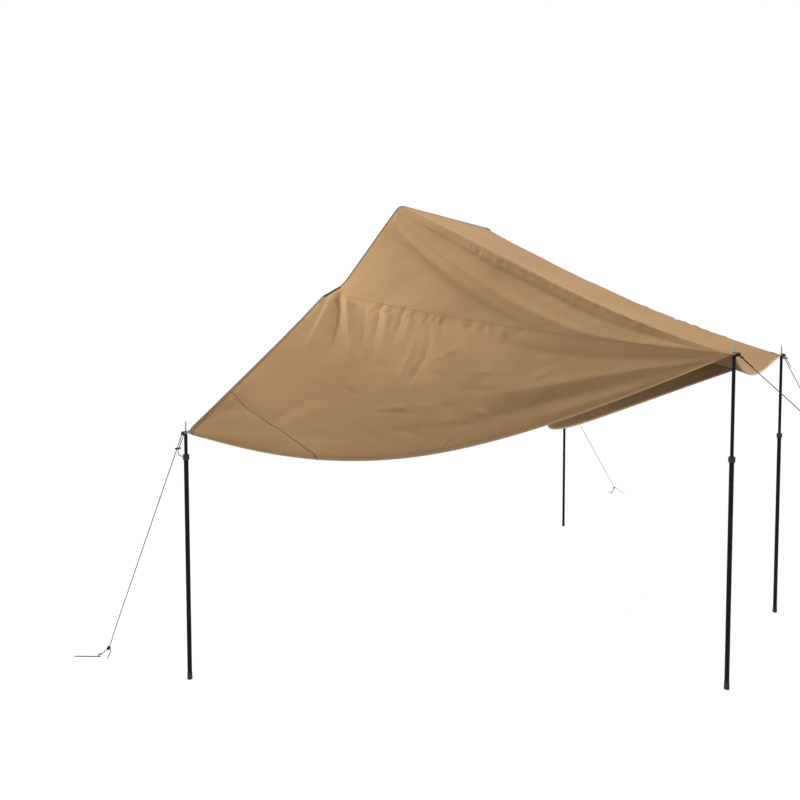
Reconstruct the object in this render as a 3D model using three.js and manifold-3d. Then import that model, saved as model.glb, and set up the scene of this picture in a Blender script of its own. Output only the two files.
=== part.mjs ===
// A sun canopy for a roof tent: one cloth that leaves the tent's entrance edge, widens over two wings
// and stands on four telescopic poles, each held by a guy line with a bar runner and a peg.
// Millimetres, +Z up. The ground is z = 0, +X points away from the tent and -Y is the near side.
// The feature that takes the most skill is the cloth: five panels on one tensioned surface, with its
// ridges, long seams, tension folds, sagging free edges and the corner tabs that gather it at the poles.
import * as THREE from "three";
import { mergeVertices } from "three/addons/utils/BufferGeometryUtils.js";
import Module from "manifold-3d";

// Where the poles stand, measured from the middle of the pitched canopy.
const wingPoleBack = 945;
const wingPoleSpread = 2420;
const nearOuterPoleOut = 1490;
const farOuterPoleOut = 1435;
const outerPoleSpread = 760;

// Heights above the ground: the heads of the upper tubes and the middle of the lock collars.
const wingPoleHeight = 1380;
const outerPoleHeight = 1806;
const lockHeight = 1250;

// Where the canopy holds to the tent: the apex, the knee below it and the lower rear corner.
const apexBack = 826;
const apexSpread = 624;
const apexHeight = 2887;
const kneeBack = 1302;
const kneeSpread = 700;
const kneeHeight = 2344;
const rearCornerBack = 1517;
const rearCornerHeight = 2264;

// The long seam leaves the tent edge at this share of the way from the rear corner up to the knee.
const seamStartShare = 0.36;

// How the free edges hang down and draw in. A skew moves the deepest place towards the first corner.
const nearHemDrop = 396;
const nearHemDropSkew = 0.262;
const farHemDrop = 394;
const farHemDropSkew = 0.407;
const hemDraw = 737;
const hemDrawSkew = 0.17;
const frontHemDrop = 126;
const frontHemDraw = 82;
const frontHemDrawSkew = -1;
const rearHemDraw = 38;
const rearHemDrop = 12;
const nearRidgeDrop = 60;
const nearRidgeDropSkew = -0.7;
const farRidgeDrop = 70;
const farRidgeDropSkew = 0;
const seamDrop = 40;

// The cloth and its edges.
const clothThickness = 2;
const hemThickness = 4;
const hemWidth = 22;
const hemNarrowShare = 0.3;
const bindingThickness = 3.2;
const bindingWidth = 13;
const clothGap = 0.7;
const foldRise = 24;
const foldWidthShare = 0.13;
const wingFoldRise = 17;
const wingFoldWidthShare = 0.02;
const roofSag = 55;

// The tension fold of an upper panel: shares of the way to the outer pole and from the ridge to the seam.
const foldLineShares = [
  [0, 0.2],
  [0.19, 0.26],
  [0.36, 0.51],
  [0.53, 0.62],
  [0.65, 0.82],
  [0.72, 0.93],
  [1, 0.95],
];
const foldRiseShares = [
  [0, 0.2],
  [0.12, 1],
  [0.4, 0.9],
  [0.62, 0.35],
  [0.8, 0],
  [1, 0],
];

// The folds that hang from a wing's long seam. Each leaves the seam at its first share of the way along
// the cloth and fades out at its second. Its third is the share of the rise, below zero for a hollow.
const wingFoldShares = [
  [0.066, 0.115, -1],
  [0.1, 0.165, 1],
  [0.19, 0.21, -0.55],
  [0.225, 0.235, 0.5],
  [0.26, 0.265, -0.5],
];
const wingFoldTopShare = 0.88;
const wingFoldFootShare = 0.62;

// The corner patch of a wing: where its seam meets the rear edge and the hem.
const patchRearShare = 0.23;
const patchHemShare = 0.2125;
const patchKnifeSize = 8000;

// The webbing on the lower part of the tent edge.
const strapWidth = 25;
const strapThickness = 2;
const strapGap = 0.4;
const strapPlaceShares = [0.06, seamStartShare, 0.68, 0.97];

// The corner tabs and eyelets.
const tabReach = 62;
const tabBackRadius = 12.8;
const tabFlatRadius = 11.6;
const tabHoleRadius = 6.8;
const tabThickness = 3.4;
const tabRingStep = THREE.MathUtils.degToRad(3);
const wingTabGap = 0.7;
const outerTabGap = 1.4;
const eyeletFlangeRadius = 11;
const eyeletFlange = 1.3;
const eyeletNeckRadius = 5.9;
const eyeletBoreRadius = 3.9;
const seatGap = 0.3;

// The spikes on the pole heads.
const spikeRadius = 3.5;
const spikeLength = 68;
const spikeTipLength = 9;
const spikeTipRadius = 1.2;
const spikeFlange = 2;
const spikePlugLength = 30;

// The telescopic tubes.
const upperTubeRadius = 9.25;
const lowerTubeRadius = 12.5;
const tubeWall = 1.2;
const upperTubeLength = 1150;

// The split sleeve and the twist collar of the lock.
const sleeveInsertLength = 38;
const sleeveHeadRadius = 14;
const sleeveHeadHeight = 17;
const sleeveTaper = 3;
const sleeveSlot = 1.6;
const collarRadius = 18.5;
const collarHeight = 30;
const collarChamfer = 2.2;
const collarLip = 5;
const collarRib = 0.7;
const collarRibs = 12;

// The rubber feet.
const footRadius = 14.6;
const footSoleRadius = 12.6;
const footHeight = 40;
const footMouthRadius = 13.8;
const footFloor = 4;
const footRounding = 3;

// The guy lines, runners and pegs.
const cordRadius = 1.75;
const cordSpread = 15;
const cordLift = 11;
const runnerLength = 45;
const runnerWidth = 11;
const runnerThickness = 5;
const runnerHoleClearance = 0.6;
const wingRunnerDrop = 105;
const outerRunnerDrop = 34;
const strandStart = 12;
const strandStartDrop = 2;
const loopOffset = 2;
const pegRadius = 3;
const pegLength = 165;
const pegHookRadius = 9;
const pegGroundGap = 0.3;

// How finely the curves are cut into faces.
const foldedRows = 13;
const foldedEndShare = 0.3;
const plainRows = 14;
const rearCornerShare = 0.961;
const kneeShare = 0.168;
const wingColumnShares = [0.13, 0.24, 0.36, 0.48, 0.6, 0.7, 0.79, 0.88, rearCornerShare, 1];
const upperColumnShares = [0, 0.084, kneeShare, 0.3, 0.44, 0.58, 0.72, 0.86, 1];
const roofColumnShares = [0, 0.04, 0.13, 0.23, 0.34, 0.45, 0.55, 0.66, 0.77, 0.87, 0.96, 1];
const chamferShare = 0.04;
const bindingSteps = 3;
const tubeSides = 16;
const pinSides = 12;
const cordSides = 8;
const cordSteps = 54;
const pegSteps = 17;
const tabBackSteps = 9;
const slopeStep = 1e-3;

// The routes of the guy lines, from the loose tail at the runner, round the spike, down to the peg and
// into the short tail beyond the knot.
const nearWingGuyRoute = [
  [-982.7, -2417.7, 1249.3],
  [-996.7, -2419.8, 1253.8],
  [-1008.8, -2421.8, 1264.4],
  [-1012.3, -2422.4, 1278],
  [-1008.1, -2421.8, 1287],
  [-1000.4, -2420.7, 1303.2],
  [-978.7, -2417.5, 1349.3],
  [-971.9, -2416.5, 1363.7],
  [-966, -2415.6, 1376.4],
  [-956, -2414.2, 1390.4],
  [-948.1, -2412.9, 1391],
  [-942.6, -2414.2, 1391],
  [-939.6, -2419.1, 1391],
  [-940.9, -2424.7, 1391],
  [-945.8, -2427.7, 1391],
  [-953.7, -2429, 1390.4],
  [-963.6, -2430.5, 1376.4],
  [-969.6, -2431.3, 1363.7],
  [-976.4, -2432.3, 1349.3],
  [-998.1, -2435.5, 1303.2],
  [-1007.4, -2436.9, 1283.4],
  [-1027.9, -2439.8, 1240],
  [-1176.9, -2461.6, 923.9],
  [-1364.8, -2489, 525.1],
  [-1521.4, -2511.9, 192.9],
  [-1584, -2521, 60],
  [-1593, -2531.7, 48.4],
  [-1616.6, -2545, 25.2],
  [-1624.4, -2548.2, 18.1],
  [-1629.2, -2547.2, 15.3],
  [-1632.5, -2543.8, 14.6],
  [-1634.4, -2539.8, 15.3],
  [-1633.1, -2536, 18.1],
  [-1625.8, -2532, 25.2],
  [-1599.1, -2520.5, 49.7],
  [-1586.1, -2515.5, 61.3],
  [-1588, -2506, 38],
  [-1589, -2515, 14],
  [-1571, -2540, 4],
];
const nearOuterGuyRoute = [
  [1578.4, -721.8, 1740],
  [1565.9, -726.5, 1750.8],
  [1550.6, -734.9, 1767.2],
  [1539.1, -741.3, 1779.5],
  [1532.7, -744.9, 1786.3],
  [1522.5, -750.5, 1797.2],
  [1514.8, -754.8, 1805.4],
  [1502.4, -761.7, 1816.4],
  [1495.4, -765.6, 1817],
  [1489.7, -766.2, 1817],
  [1485.2, -762.7, 1817],
  [1484.5, -757, 1817],
  [1488.1, -752.5, 1817],
  [1495.1, -748.6, 1817],
  [1507.5, -741.7, 1806.2],
  [1515.2, -737.4, 1797.2],
  [1527.9, -730.3, 1783.6],
  [1558.6, -713.4, 1750.8],
  [2071.3, -429.3, 1202.2],
  [2562.2, -157.3, 676.8],
  [2971.4, 69.3, 239.1],
  [3135, 160, 64],
  [3144.7, 172.9, 54],
  [3182.6, 198.2, 23.4],
  [3190.7, 202.5, 17.3],
  [3195.4, 201.9, 14.9],
  [3198.4, 198.4, 14.3],
  [3200.1, 194.2, 14.9],
  [3198.5, 189.7, 17.3],
  [3190.9, 184.5, 23.4],
  [3150, 160.9, 55.1],
  [3136.7, 154, 65.1],
  [3146, 138.6, 40],
  [3137.9, 124.9, 14],
  [3113.5, 111.3, 4],
];
const farOuterGuyRoute = [
  [1487.6, 817.8, 1724.2],
  [1480.1, 810.6, 1737.6],
  [1472.2, 799.5, 1757.3],
  [1466.3, 791.2, 1772.2],
  [1463, 786.6, 1780.4],
  [1457.7, 779.2, 1793.6],
  [1453.8, 773.6, 1803.5],
  [1446.9, 763.9, 1816.4],
  [1442.3, 757.3, 1817],
  [1437.4, 754.3, 1817],
  [1431.8, 755.5, 1817],
  [1428.8, 760.3, 1817],
  [1430, 765.9, 1817],
  [1434.6, 772.5, 1816.4],
  [1441.5, 782.2, 1803.5],
  [1445.4, 787.8, 1793.6],
  [1452, 797, 1777.1],
  [1467.8, 819.2, 1737.6],
  [1681.2, 1119.5, 1202.2],
  [1890.7, 1414.2, 676.8],
  [2065.2, 1659.8, 239.1],
  [2135, 1758, 64],
  [2137.4, 1773, 52.7],
  [2154, 1803.1, 24.9],
  [2158.9, 1810.1, 18],
  [2163.3, 1811.4, 15.2],
  [2167.5, 1809.6, 14.6],
  [2170.9, 1806.6, 15.2],
  [2171.6, 1802.1, 18],
  [2167.5, 1794.6, 24.9],
  [2147.5, 1764.8, 53.9],
  [2139.2, 1753.5, 65.3],
  [2154.5, 1743.9, 40],
  [2153.2, 1728.2, 14],
  [2137.1, 1705.2, 4],
];
const farWingGuyRoute = [
  [-949.5, 2515.4, 1302],
  [-951.6, 2531.5, 1308.4],
  [-953, 2542, 1317.5],
  [-952.7, 2539.2, 1325.3],
  [-951.6, 2530.7, 1330.4],
  [-949.6, 2515.5, 1339.8],
  [-944.1, 2472.2, 1366.2],
  [-942.4, 2458.6, 1374.5],
  [-940.9, 2446.7, 1381.7],
  [-938.9, 2430.9, 1390.4],
  [-937.8, 2423, 1391],
  [-939.3, 2417.4, 1391],
  [-944.3, 2414.5, 1391],
  [-949.8, 2416, 1391],
  [-952.7, 2421, 1391],
  [-953.7, 2428.9, 1390.4],
  [-955.8, 2444.8, 1381.7],
  [-957.3, 2456.7, 1374.5],
  [-959, 2470.2, 1366.2],
  [-964.5, 2513.5, 1339.8],
  [-966.9, 2532.2, 1328.4],
  [-972.1, 2572.9, 1303.5],
  [-1049, 3177.4, 934.3],
  [-1130.2, 3815.5, 544.6],
  [-1197.9, 4347.3, 219.9],
  [-1225, 4560, 90],
  [-1238.5, 4562.1, 75.3],
  [-1267.7, 4578.9, 28.6],
  [-1272.6, 4582.7, 19.6],
  [-1272.4, 4585.8, 16.1],
  [-1269.3, 4588.9, 15.2],
  [-1265.2, 4591.2, 16.1],
  [-1260.6, 4591.7, 19.6],
  [-1254.9, 4588.5, 28.6],
  [-1227.1, 4569.2, 76.9],
  [-1219.2, 4563, 91.6],
  [-1195, 4625, 62],
  [-1186, 4690, 24],
  [-1140, 4712, 4],
];

// Where each line's knot and hook lie, and which way its peg points, from its tip to its hook.
const nearWingKnot = [-1584, -2521, 60];
const nearWingHook = [-1635, -2545];
const nearWingPegTurn = THREE.MathUtils.degToRad(35.3);
const nearOuterKnot = [3135, 160, 64];
const nearOuterHook = [3201, 200];
const nearOuterPegTurn = THREE.MathUtils.degToRad(-148.8);
const farOuterKnot = [2135, 1758, 64];
const farOuterHook = [2169, 1812];
const farOuterPegTurn = THREE.MathUtils.degToRad(-122.2);
const farWingKnot = [-1225, 4560, 90];
const farWingHook = [-1271, 4590];
const farWingPegTurn = THREE.MathUtils.degToRad(-53.1);

// Worked out from the sizes above.
const eyeletHeight = tabThickness + 2 * seatGap + 2 * eyeletFlange;
const tabLift = seatGap + eyeletHeight / 2;

const wasm = await Module();
wasm.setup();
const canopy = new THREE.Group();
canopy.name = "roof_tent_sun_canopy";

const cloth = new THREE.MeshStandardMaterial({ color: 0xb08f68, roughness: 0.9, metalness: 0 });
const hemCloth = new THREE.MeshStandardMaterial({ color: 0xbb9c75, roughness: 0.9, metalness: 0 });
const webbing = new THREE.MeshStandardMaterial({ color: 0x1d1c1a, roughness: 0.85, metalness: 0 });
const blackSteel = new THREE.MeshStandardMaterial({ color: 0x17181a, roughness: 0.45, metalness: 0.6 });
const zincSteel = new THREE.MeshStandardMaterial({ color: 0x8a8c8e, roughness: 0.35, metalness: 1 });
const blackPlastic = new THREE.MeshStandardMaterial({ color: 0x1a1a1b, roughness: 0.55, metalness: 0 });
const rubber = new THREE.MeshStandardMaterial({ color: 0x141414, roughness: 0.8, metalness: 0 });
const cord = new THREE.MeshStandardMaterial({ color: 0x3a3b38, roughness: 0.9, metalness: 0 });

function addPiece(name, geometry, material) {
  const piece = new THREE.Mesh(geometry, material.clone());
  piece.name = name;
  canopy.add(piece);
  return piece;
}

// Shared vertices merged, and the faces that a revolve flattens on its axis left out.
function weld(geometry) {
  const bare = geometry.clone();
  bare.deleteAttribute("normal");
  bare.deleteAttribute("uv");
  const merged = mergeVertices(bare);
  const corners = merged.index.array;
  const kept = [];
  for (let i = 0; i < corners.length; i += 3) {
    const [a, b, c] = [corners[i], corners[i + 1], corners[i + 2]];
    if (a !== b && b !== c && c !== a) kept.push(a, b, c);
  }
  merged.setIndex(kept);
  return merged;
}

function solidOf(geometry) {
  const welded = weld(geometry);
  return new wasm.Manifold(
    new wasm.Mesh({
      numProp: 3,
      vertProperties: new Float32Array(welded.attributes.position.array),
      triVerts: new Uint32Array(welded.index.array),
    }),
  );
}

function geometryOf(solid) {
  const mesh = solid.getMesh();
  const geometry = new THREE.BufferGeometry();
  geometry.setAttribute("position", new THREE.BufferAttribute(new Float32Array(mesh.vertProperties), 3));
  geometry.setIndex(new THREE.BufferAttribute(new Uint32Array(mesh.triVerts), 1));
  return geometry;
}

// A profile of [radius, height] places, turned about the upright axis.
function turned(profile, sides) {
  const places = profile.map(([radius, height]) => new THREE.Vector2(radius, height));
  const geometry = new THREE.LatheGeometry(places, sides);
  geometry.rotateX(Math.PI / 2);
  return weld(geometry);
}

// A closed ring's profile is walked up its outer wall and down its inner wall, then back to its start.
const ring = (profile) => [...profile, profile[0]];

// The value of a table of [share, value] rows at a share, blended smoothly between rows.
function tableAt(rows, share) {
  const next = Math.max(1, rows.findIndex(([start]) => start >= share));
  const [startShare, startValue] = rows[next - 1];
  const [endShare, endValue] = rows[next];
  return startValue + (endValue - startValue) * THREE.MathUtils.smoothstep(share, startShare, endShare);
}

// Zero at both ends and 1 at its peak, which a skew moves towards the start.
function hump(share, skew) {
  const moved = share + skew * share * (1 - share);
  return 4 * moved * (1 - moved);
}

// The corners of one side of the cloth, mirrored by the sign of its side.
function clothCorners(side, outerPoleOut) {
  return {
    apex: new THREE.Vector3(-apexBack, side * apexSpread, apexHeight),
    knee: new THREE.Vector3(-kneeBack, side * kneeSpread, kneeHeight),
    rear: new THREE.Vector3(-rearCornerBack, side * kneeSpread, rearCornerHeight),
    wing: new THREE.Vector3(-wingPoleBack, side * wingPoleSpread, wingPoleHeight + tabLift),
    outer: new THREE.Vector3(outerPoleOut, side * outerPoleSpread, outerPoleHeight + tabLift),
  };
}

// A line of the cloth between two corners, which hangs down and draws in, less the reach of its tabs.
function clothLine(start, end, shape) {
  const length = start.distanceTo(end);
  const from = shape.startTab ? tabReach / length : 0;
  const to = shape.endTab ? 1 - tabReach / length : 1;
  const inward = new THREE.Vector3(start.y - end.y, end.x - start.x, 0).normalize();
  inward.multiplyScalar(shape.drawSide ?? 1);
  return (share) => {
    const place = from + (to - from) * share;
    const point = start.clone().lerp(end, place);
    point.addScaledVector(inward, (shape.draw ?? 0) * hump(place, shape.drawSkew ?? 0));
    point.z -= shape.drop * hump(place, shape.dropSkew ?? 0);
    return point;
  };
}

function clothSide(side, outerPoleOut, ridgeDrop, ridgeDropSkew, hemDrop, hemDropSkew) {
  const corners = clothCorners(side, outerPoleOut);
  const { apex, knee, rear, wing, outer } = corners;
  const seamStart = rear.clone().lerp(knee, seamStartShare);
  const hem = clothLine(wing, outer, {
    drop: hemDrop,
    dropSkew: hemDropSkew,
    draw: hemDraw,
    drawSkew: hemDrawSkew,
    drawSide: -side,
    startTab: true,
    endTab: true,
  });
  const seam = clothLine(seamStart, outer, { drop: seamDrop, endTab: true });
  const ridge = clothLine(apex, outer, { drop: ridgeDrop, dropSkew: ridgeDropSkew, endTab: true });
  const rearHem = clothLine(wing, rear, {
    drop: rearHemDrop,
    draw: rearHemDraw,
    drawSide: side,
    startTab: true,
  });
  const outward = new THREE.Vector3().crossVectors(
    outer.clone().sub(seamStart),
    apex.clone().sub(seamStart),
  );
  outward.normalize().multiplyScalar(-side);

  // The rear edge from the hem's first place, across the tab's mouth, up to the rear corner and on along
  // the tent edge to the long seam.
  const rearEdge = (share) => {
    if (share < chamferShare) return hem(0).lerp(rearHem(0), share / chamferShare);
    if (share < rearCornerShare) return rearHem((share - chamferShare) / (rearCornerShare - chamferShare));
    return rear.clone().lerp(seamStart, (share - rearCornerShare) / (1 - rearCornerShare));
  };
  // The tent edge from the long seam over the knee to the apex.
  const tentEdge = (share) => {
    if (share < kneeShare) return seamStart.clone().lerp(knee, share / kneeShare);
    return knee.clone().lerp(apex, (share - kneeShare) / (1 - kneeShare));
  };
  // How far the wing's folds stand out, from the long seam down to where they fade out.
  const wingFoldAt = (along, across) => {
    const { smoothstep, lerp } = THREE.MathUtils;
    const fade = smoothstep(across, wingFoldFootShare, wingFoldTopShare);
    const held = fade * (1 - smoothstep(across, wingFoldTopShare, 1));
    const down = (1 - across) / (1 - wingFoldFootShare);
    let rise = 0;
    for (const [seamShare, footShare, riseShare] of wingFoldShares) {
      const offset = (along - lerp(seamShare, footShare, down)) / wingFoldWidthShare;
      rise += riseShare * Math.exp(-offset * offset);
    }
    return wingFoldRise * held * rise;
  };
  // The wing between the hem and the long seam, with the folds that hang from the seam.
  const wingPoint = (along, across) => {
    const point = hem(along).lerp(seam(along), across);
    const edge = rearEdge(across).sub(hem(0).lerp(seam(0), across));
    point.addScaledVector(edge, (1 - along) ** 3);
    return point.addScaledVector(outward, wingFoldAt(along, across));
  };
  // The upper panel between the long seam and the ridge, with its tension fold and the hollows beside it.
  const upperPoint = (along, across) => {
    const point = seam(along).lerp(ridge(along), across);
    const edge = tentEdge(across).sub(seamStart.clone().lerp(apex, across));
    point.addScaledVector(edge, (1 - along) ** 4);
    const offset = (1 - across - tableAt(foldLineShares, THREE.MathUtils.clamp(along, 0, 1))) / foldWidthShare;
    const crest = (1 - offset * offset) * Math.exp((-offset * offset) / 2);
    const held = Math.min(1, 3 * hump(across, 0));
    const rise = foldRise * tableAt(foldRiseShares, THREE.MathUtils.clamp(along, 0, 1));
    point.addScaledVector(outward, rise * crest * Math.max(0, held));
    return point;
  };
  return { ...corners, seamStart, hem, seam, ridge, rearHem, wingPoint, upperPoint };
}

const near = clothSide(
  -1,
  nearOuterPoleOut,
  nearRidgeDrop,
  nearRidgeDropSkew,
  nearHemDrop,
  nearHemDropSkew,
);
const far = clothSide(1, farOuterPoleOut, farRidgeDrop, farRidgeDropSkew, farHemDrop, farHemDropSkew);
const frontHem = clothLine(near.outer, far.outer, {
  drop: frontHemDrop,
  draw: frontHemDraw,
  drawSkew: frontHemDrawSkew,
  startTab: true,
  endTab: true,
});

// The outer edge of the roof, from the near ridge round both tab mouths to the far ridge.
function frontEdge(share) {
  if (share < chamferShare) return near.ridge(1).lerp(frontHem(0), share / chamferShare);
  if (share > 1 - chamferShare) return far.ridge(1).lerp(frontHem(1), (1 - share) / chamferShare);
  return frontHem((share - chamferShare) / (1 - 2 * chamferShare));
}

// The roof between the two ridges. It sags in the middle and meets the front hem.
function roofPoint(along, across) {
  const point = near.ridge(along).lerp(far.ridge(along), across);
  const edge = frontEdge(across).sub(near.ridge(1).lerp(far.ridge(1), across));
  point.addScaledVector(edge, along ** 2);
  point.z -= roofSag * hump(across, 0) * hump(along, 0);
  return point;
}

// The whole cloth as one surface. along runs from the tent to the outer poles. across counts the panels:
// 0 near hem, 1 near seam, 2 near ridge, 3 far ridge, 4 far seam, 5 far hem.
function clothPoint(along, across) {
  if (across <= 1) return near.wingPoint(along, across);
  if (across <= 2) return near.upperPoint(along, across - 1);
  if (across <= 3) return roofPoint(along, across - 2);
  if (across <= 4) return far.upperPoint(along, 4 - across);
  return far.wingPoint(along, 5 - across);
}

// The way out of the cloth. On a ridge or seam it is the middle between the two panels' own ways.
function clothNormal(along, across) {
  const here = clothPoint(along, across);
  const step = (from, to) => to.clone().sub(from).normalize();
  const down = step(clothPoint(along - slopeStep, across), here);
  down.add(step(here, clothPoint(along + slopeStep, across)));
  const over = step(clothPoint(along, across - slopeStep), here);
  over.add(step(here, clothPoint(along, across + slopeStep)));
  return down.cross(over).normalize();
}

// A closed sheet of cloth from rows of places, each with the direction that its thickness takes.
function sheet(rows, thickness, wraps = false) {
  const columns = rows[0].length;
  const positions = [];
  for (const half of [thickness / 2, -thickness / 2])
    for (const row of rows)
      for (const { point, normal } of row) {
        positions.push(...point.clone().addScaledVector(normal, half).toArray());
      }
  const at = (layer, i, j) => (layer * rows.length + i) * columns + (j % columns);
  const faces = [];
  const quad = (a, b, c, d) => faces.push(a, b, c, a, c, d);
  const lastRow = rows.length - 1;
  const lastColumn = wraps ? columns : columns - 1;
  for (let i = 0; i < lastRow; i += 1)
    for (let j = 0; j < lastColumn; j += 1) {
      quad(at(0, i, j), at(0, i + 1, j), at(0, i + 1, j + 1), at(0, i, j + 1));
      quad(at(1, i, j), at(1, i, j + 1), at(1, i + 1, j + 1), at(1, i + 1, j));
    }
  for (let j = 0; j < lastColumn; j += 1) {
    quad(at(0, 0, j), at(0, 0, j + 1), at(1, 0, j + 1), at(1, 0, j));
    quad(at(0, lastRow, j), at(1, lastRow, j), at(1, lastRow, j + 1), at(0, lastRow, j + 1));
  }
  for (let i = 0; i < lastRow && !wraps; i += 1) {
    quad(at(0, i, 0), at(1, i, 0), at(1, i + 1, 0), at(0, i + 1, 0));
    quad(at(0, i, lastColumn), at(0, i + 1, lastColumn), at(1, i + 1, lastColumn), at(1, i, lastColumn));
  }
  const geometry = new THREE.BufferGeometry();
  geometry.setAttribute("position", new THREE.Float32BufferAttribute(positions, 3));
  geometry.setIndex(faces);
  return geometry;
}

// The rim of a sheet drawn in by half the gap to its neighbours, which meet it on the same lines.
function drawnIn(rows) {
  const shift = (from, to) => to.clone().sub(from).normalize().multiplyScalar(clothGap / 2);
  const moved = rows.map((row) => row.map(({ point, normal }) => ({ point: point.clone(), normal })));
  for (let i = 0; i < rows.length; i += 1) {
    const last = rows[i].length - 1;
    moved[i][0].point.add(shift(rows[i][0].point, rows[i][1].point));
    moved[i][last].point.add(shift(rows[i][last].point, rows[i][last - 1].point));
  }
  const end = rows.length - 1;
  for (let j = 0; j < rows[0].length; j += 1) {
    moved[0][j].point.add(shift(rows[0][j].point, rows[1][j].point));
    moved[end][j].point.add(shift(rows[end][j].point, rows[end - 1][j].point));
  }
  return moved;
}

// A part of the cloth between two lines across it. Each row lies at a share of the way along the cloth,
// or at a share that changes across it.
function clothPart(alongShares, acrossAt, columnShares, thickness) {
  const rows = alongShares.map((row) => {
    const [from, to] = acrossAt(typeof row === "function" ? 0 : row);
    return columnShares.map((share) => {
      const across = from + (to - from) * share;
      const along = typeof row === "function" ? row(across) : row;
      return { point: clothPoint(along, across), normal: clothNormal(along, across) };
    });
  });
  return sheet(drawnIn(rows), thickness);
}

const evenShares = (steps) => Array.from({ length: steps + 1 }, (_, i) => i / steps);
const between = (from, to, steps) => evenShares(steps).map((share) => from + (to - from) * share);

// Lengths turned into shares of the cloth: along it, and across a wing at a place along it.
const ridgeLength = near.apex.distanceTo(near.outer);
const seamLength = near.seamStart.distanceTo(near.outer);
const rearHemEnd = hemWidth / seamLength;
// Where the rear hem or the binding ends. The binding is as wide where the cloth's rows meet the tent
// edge at a slant, and it widens to the hem's end at the rear corner.
const edgeEnd = (across) => {
  const fromCorner = Math.min(across, 5 - across) - rearCornerShare;
  if (fromCorner < slopeStep) return rearHemEnd;
  const edge = clothPoint(0, across + slopeStep).sub(clothPoint(0, across - slopeStep)).normalize();
  const down = clothPoint(slopeStep, across).sub(clothPoint(0, across)).divideScalar(slopeStep);
  return bindingWidth / down.cross(edge).length();
};
const frontHemStart = 1 - hemWidth / ridgeLength;
const hemShareAt = (along) => {
  const width = near.hem(along).distanceTo(near.seam(along));
  return Math.min(hemWidth / width, hemNarrowShare);
};
const hemSpan = (along) => [0, hemShareAt(along)];
const wingSpan = (along) => [hemShareAt(along), 1];
const upperSpan = () => [1, 2];
const roofSpan = () => [2, 3];

// The same span on the far side, walked so that the faces keep pointing out.
const mirrored = (span) => (along) => {
  const [from, to] = span(along);
  return [5 - to, 5 - from];
};
const backwards = (shares) => shares.map((share) => 1 - share).reverse();

// Neighbouring panels share their rows, so that they meet edge to edge along the ridges and seams. The
// rows lie closer where the folds hang.
const innerRows = [
  ...between(foldedEndShare / foldedRows, foldedEndShare, foldedRows - 1),
  ...between(foldedEndShare, frontHemStart, plainRows).slice(1),
];
const panelRows = [edgeEnd, ...innerRows, 1];
const roofRows = [edgeEnd, ...innerRows];

// Roof and upper panels.
addPiece(
  "roof_panel",
  clothPart(roofRows, roofSpan, roofColumnShares, clothThickness),
  cloth,
);
addPiece("near_upper_panel", clothPart(panelRows, upperSpan, upperColumnShares, clothThickness), cloth);
addPiece(
  "far_upper_panel",
  clothPart(panelRows, mirrored(upperSpan), backwards(upperColumnShares), clothThickness),
  cloth,
);

// The wings, each cut along its patch seam into the panel and the corner patch.
const [wingFrom] = wingSpan(0);
const wingAcross = [wingFrom, chamferShare, ...wingColumnShares];
const wingColumns = wingAcross.map((across) => (across - wingFrom) / (1 - wingFrom));
function addWing(name, edges, panelColumns, span) {
  const whole = solidOf(clothPart(panelRows, span, panelColumns, clothThickness));
  const rearPlace = edges.rearHem(patchRearShare);
  const hemPlace = edges.hem(patchHemShare);
  const seamRun = hemPlace.clone().sub(rearPlace).normalize();
  const wingFace = hemPlace.clone().sub(edges.wing).cross(rearPlace.clone().sub(edges.wing)).normalize();
  const toPanel = seamRun.clone().cross(wingFace);
  const knife = new THREE.BoxGeometry(patchKnifeSize, patchKnifeSize, patchKnifeSize);
  const cut = (direction) => {
    const turn = new THREE.Matrix4().makeBasis(direction, seamRun.clone().cross(direction), seamRun);
    const offset = direction.clone().multiplyScalar((patchKnifeSize + clothGap) / 2);
    turn.setPosition(rearPlace.clone().add(offset));
    return whole.intersect(solidOf(knife.clone().applyMatrix4(turn)));
  };
  if (toPanel.dot(edges.outer.clone().sub(rearPlace)) < 0) toPanel.negate();
  addPiece(`${name}_wing_panel`, geometryOf(cut(toPanel)), cloth);
  addPiece(`${name}_wing_corner`, geometryOf(cut(toPanel.clone().negate())), cloth);
}
addWing("near", near, wingColumns, wingSpan);
addWing("far", far, backwards(wingColumns), mirrored(wingSpan));

// The bound and folded edges.
const hemColumns = evenShares(1);
addPiece("near_hem", clothPart(panelRows, hemSpan, hemColumns, hemThickness), hemCloth);
addPiece("far_hem", clothPart(panelRows, mirrored(hemSpan), hemColumns, hemThickness), hemCloth);
const rearSpan = () => [0, rearCornerShare];
const rearColumns = [0, ...wingAcross.slice(0, -1)].map((across) => across / rearCornerShare);
const rearHemRows = [0, rearHemEnd];
addPiece("near_rear_hem", clothPart(rearHemRows, rearSpan, rearColumns, hemThickness), hemCloth);
addPiece(
  "far_rear_hem",
  clothPart(rearHemRows, mirrored(rearSpan), backwards(rearColumns), hemThickness),
  hemCloth,
);
addPiece("front_hem", clothPart([frontHemStart, 1], roofSpan, roofColumnShares, hemThickness), hemCloth);

// The dark binding runs along the whole tent edge: from the rear corner up one side, over the roof and
// down the other side.
const bindingAcross = [
  rearCornerShare,
  ...upperColumnShares.map((share) => 1 + share),
  ...between(2, 3, bindingSteps).slice(1, -1),
  ...backwards(upperColumnShares).map((share) => 3 + share),
  5 - rearCornerShare,
];
const bindingLength = 5 - 2 * rearCornerShare;
const bindingColumns = bindingAcross.map((across) => (across - rearCornerShare) / bindingLength);
const bindingSpan = () => [rearCornerShare, 5 - rearCornerShare];
addPiece(
  "tent_edge_binding",
  clothPart([0, edgeEnd], bindingSpan, bindingColumns, bindingThickness),
  webbing,
);

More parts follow.
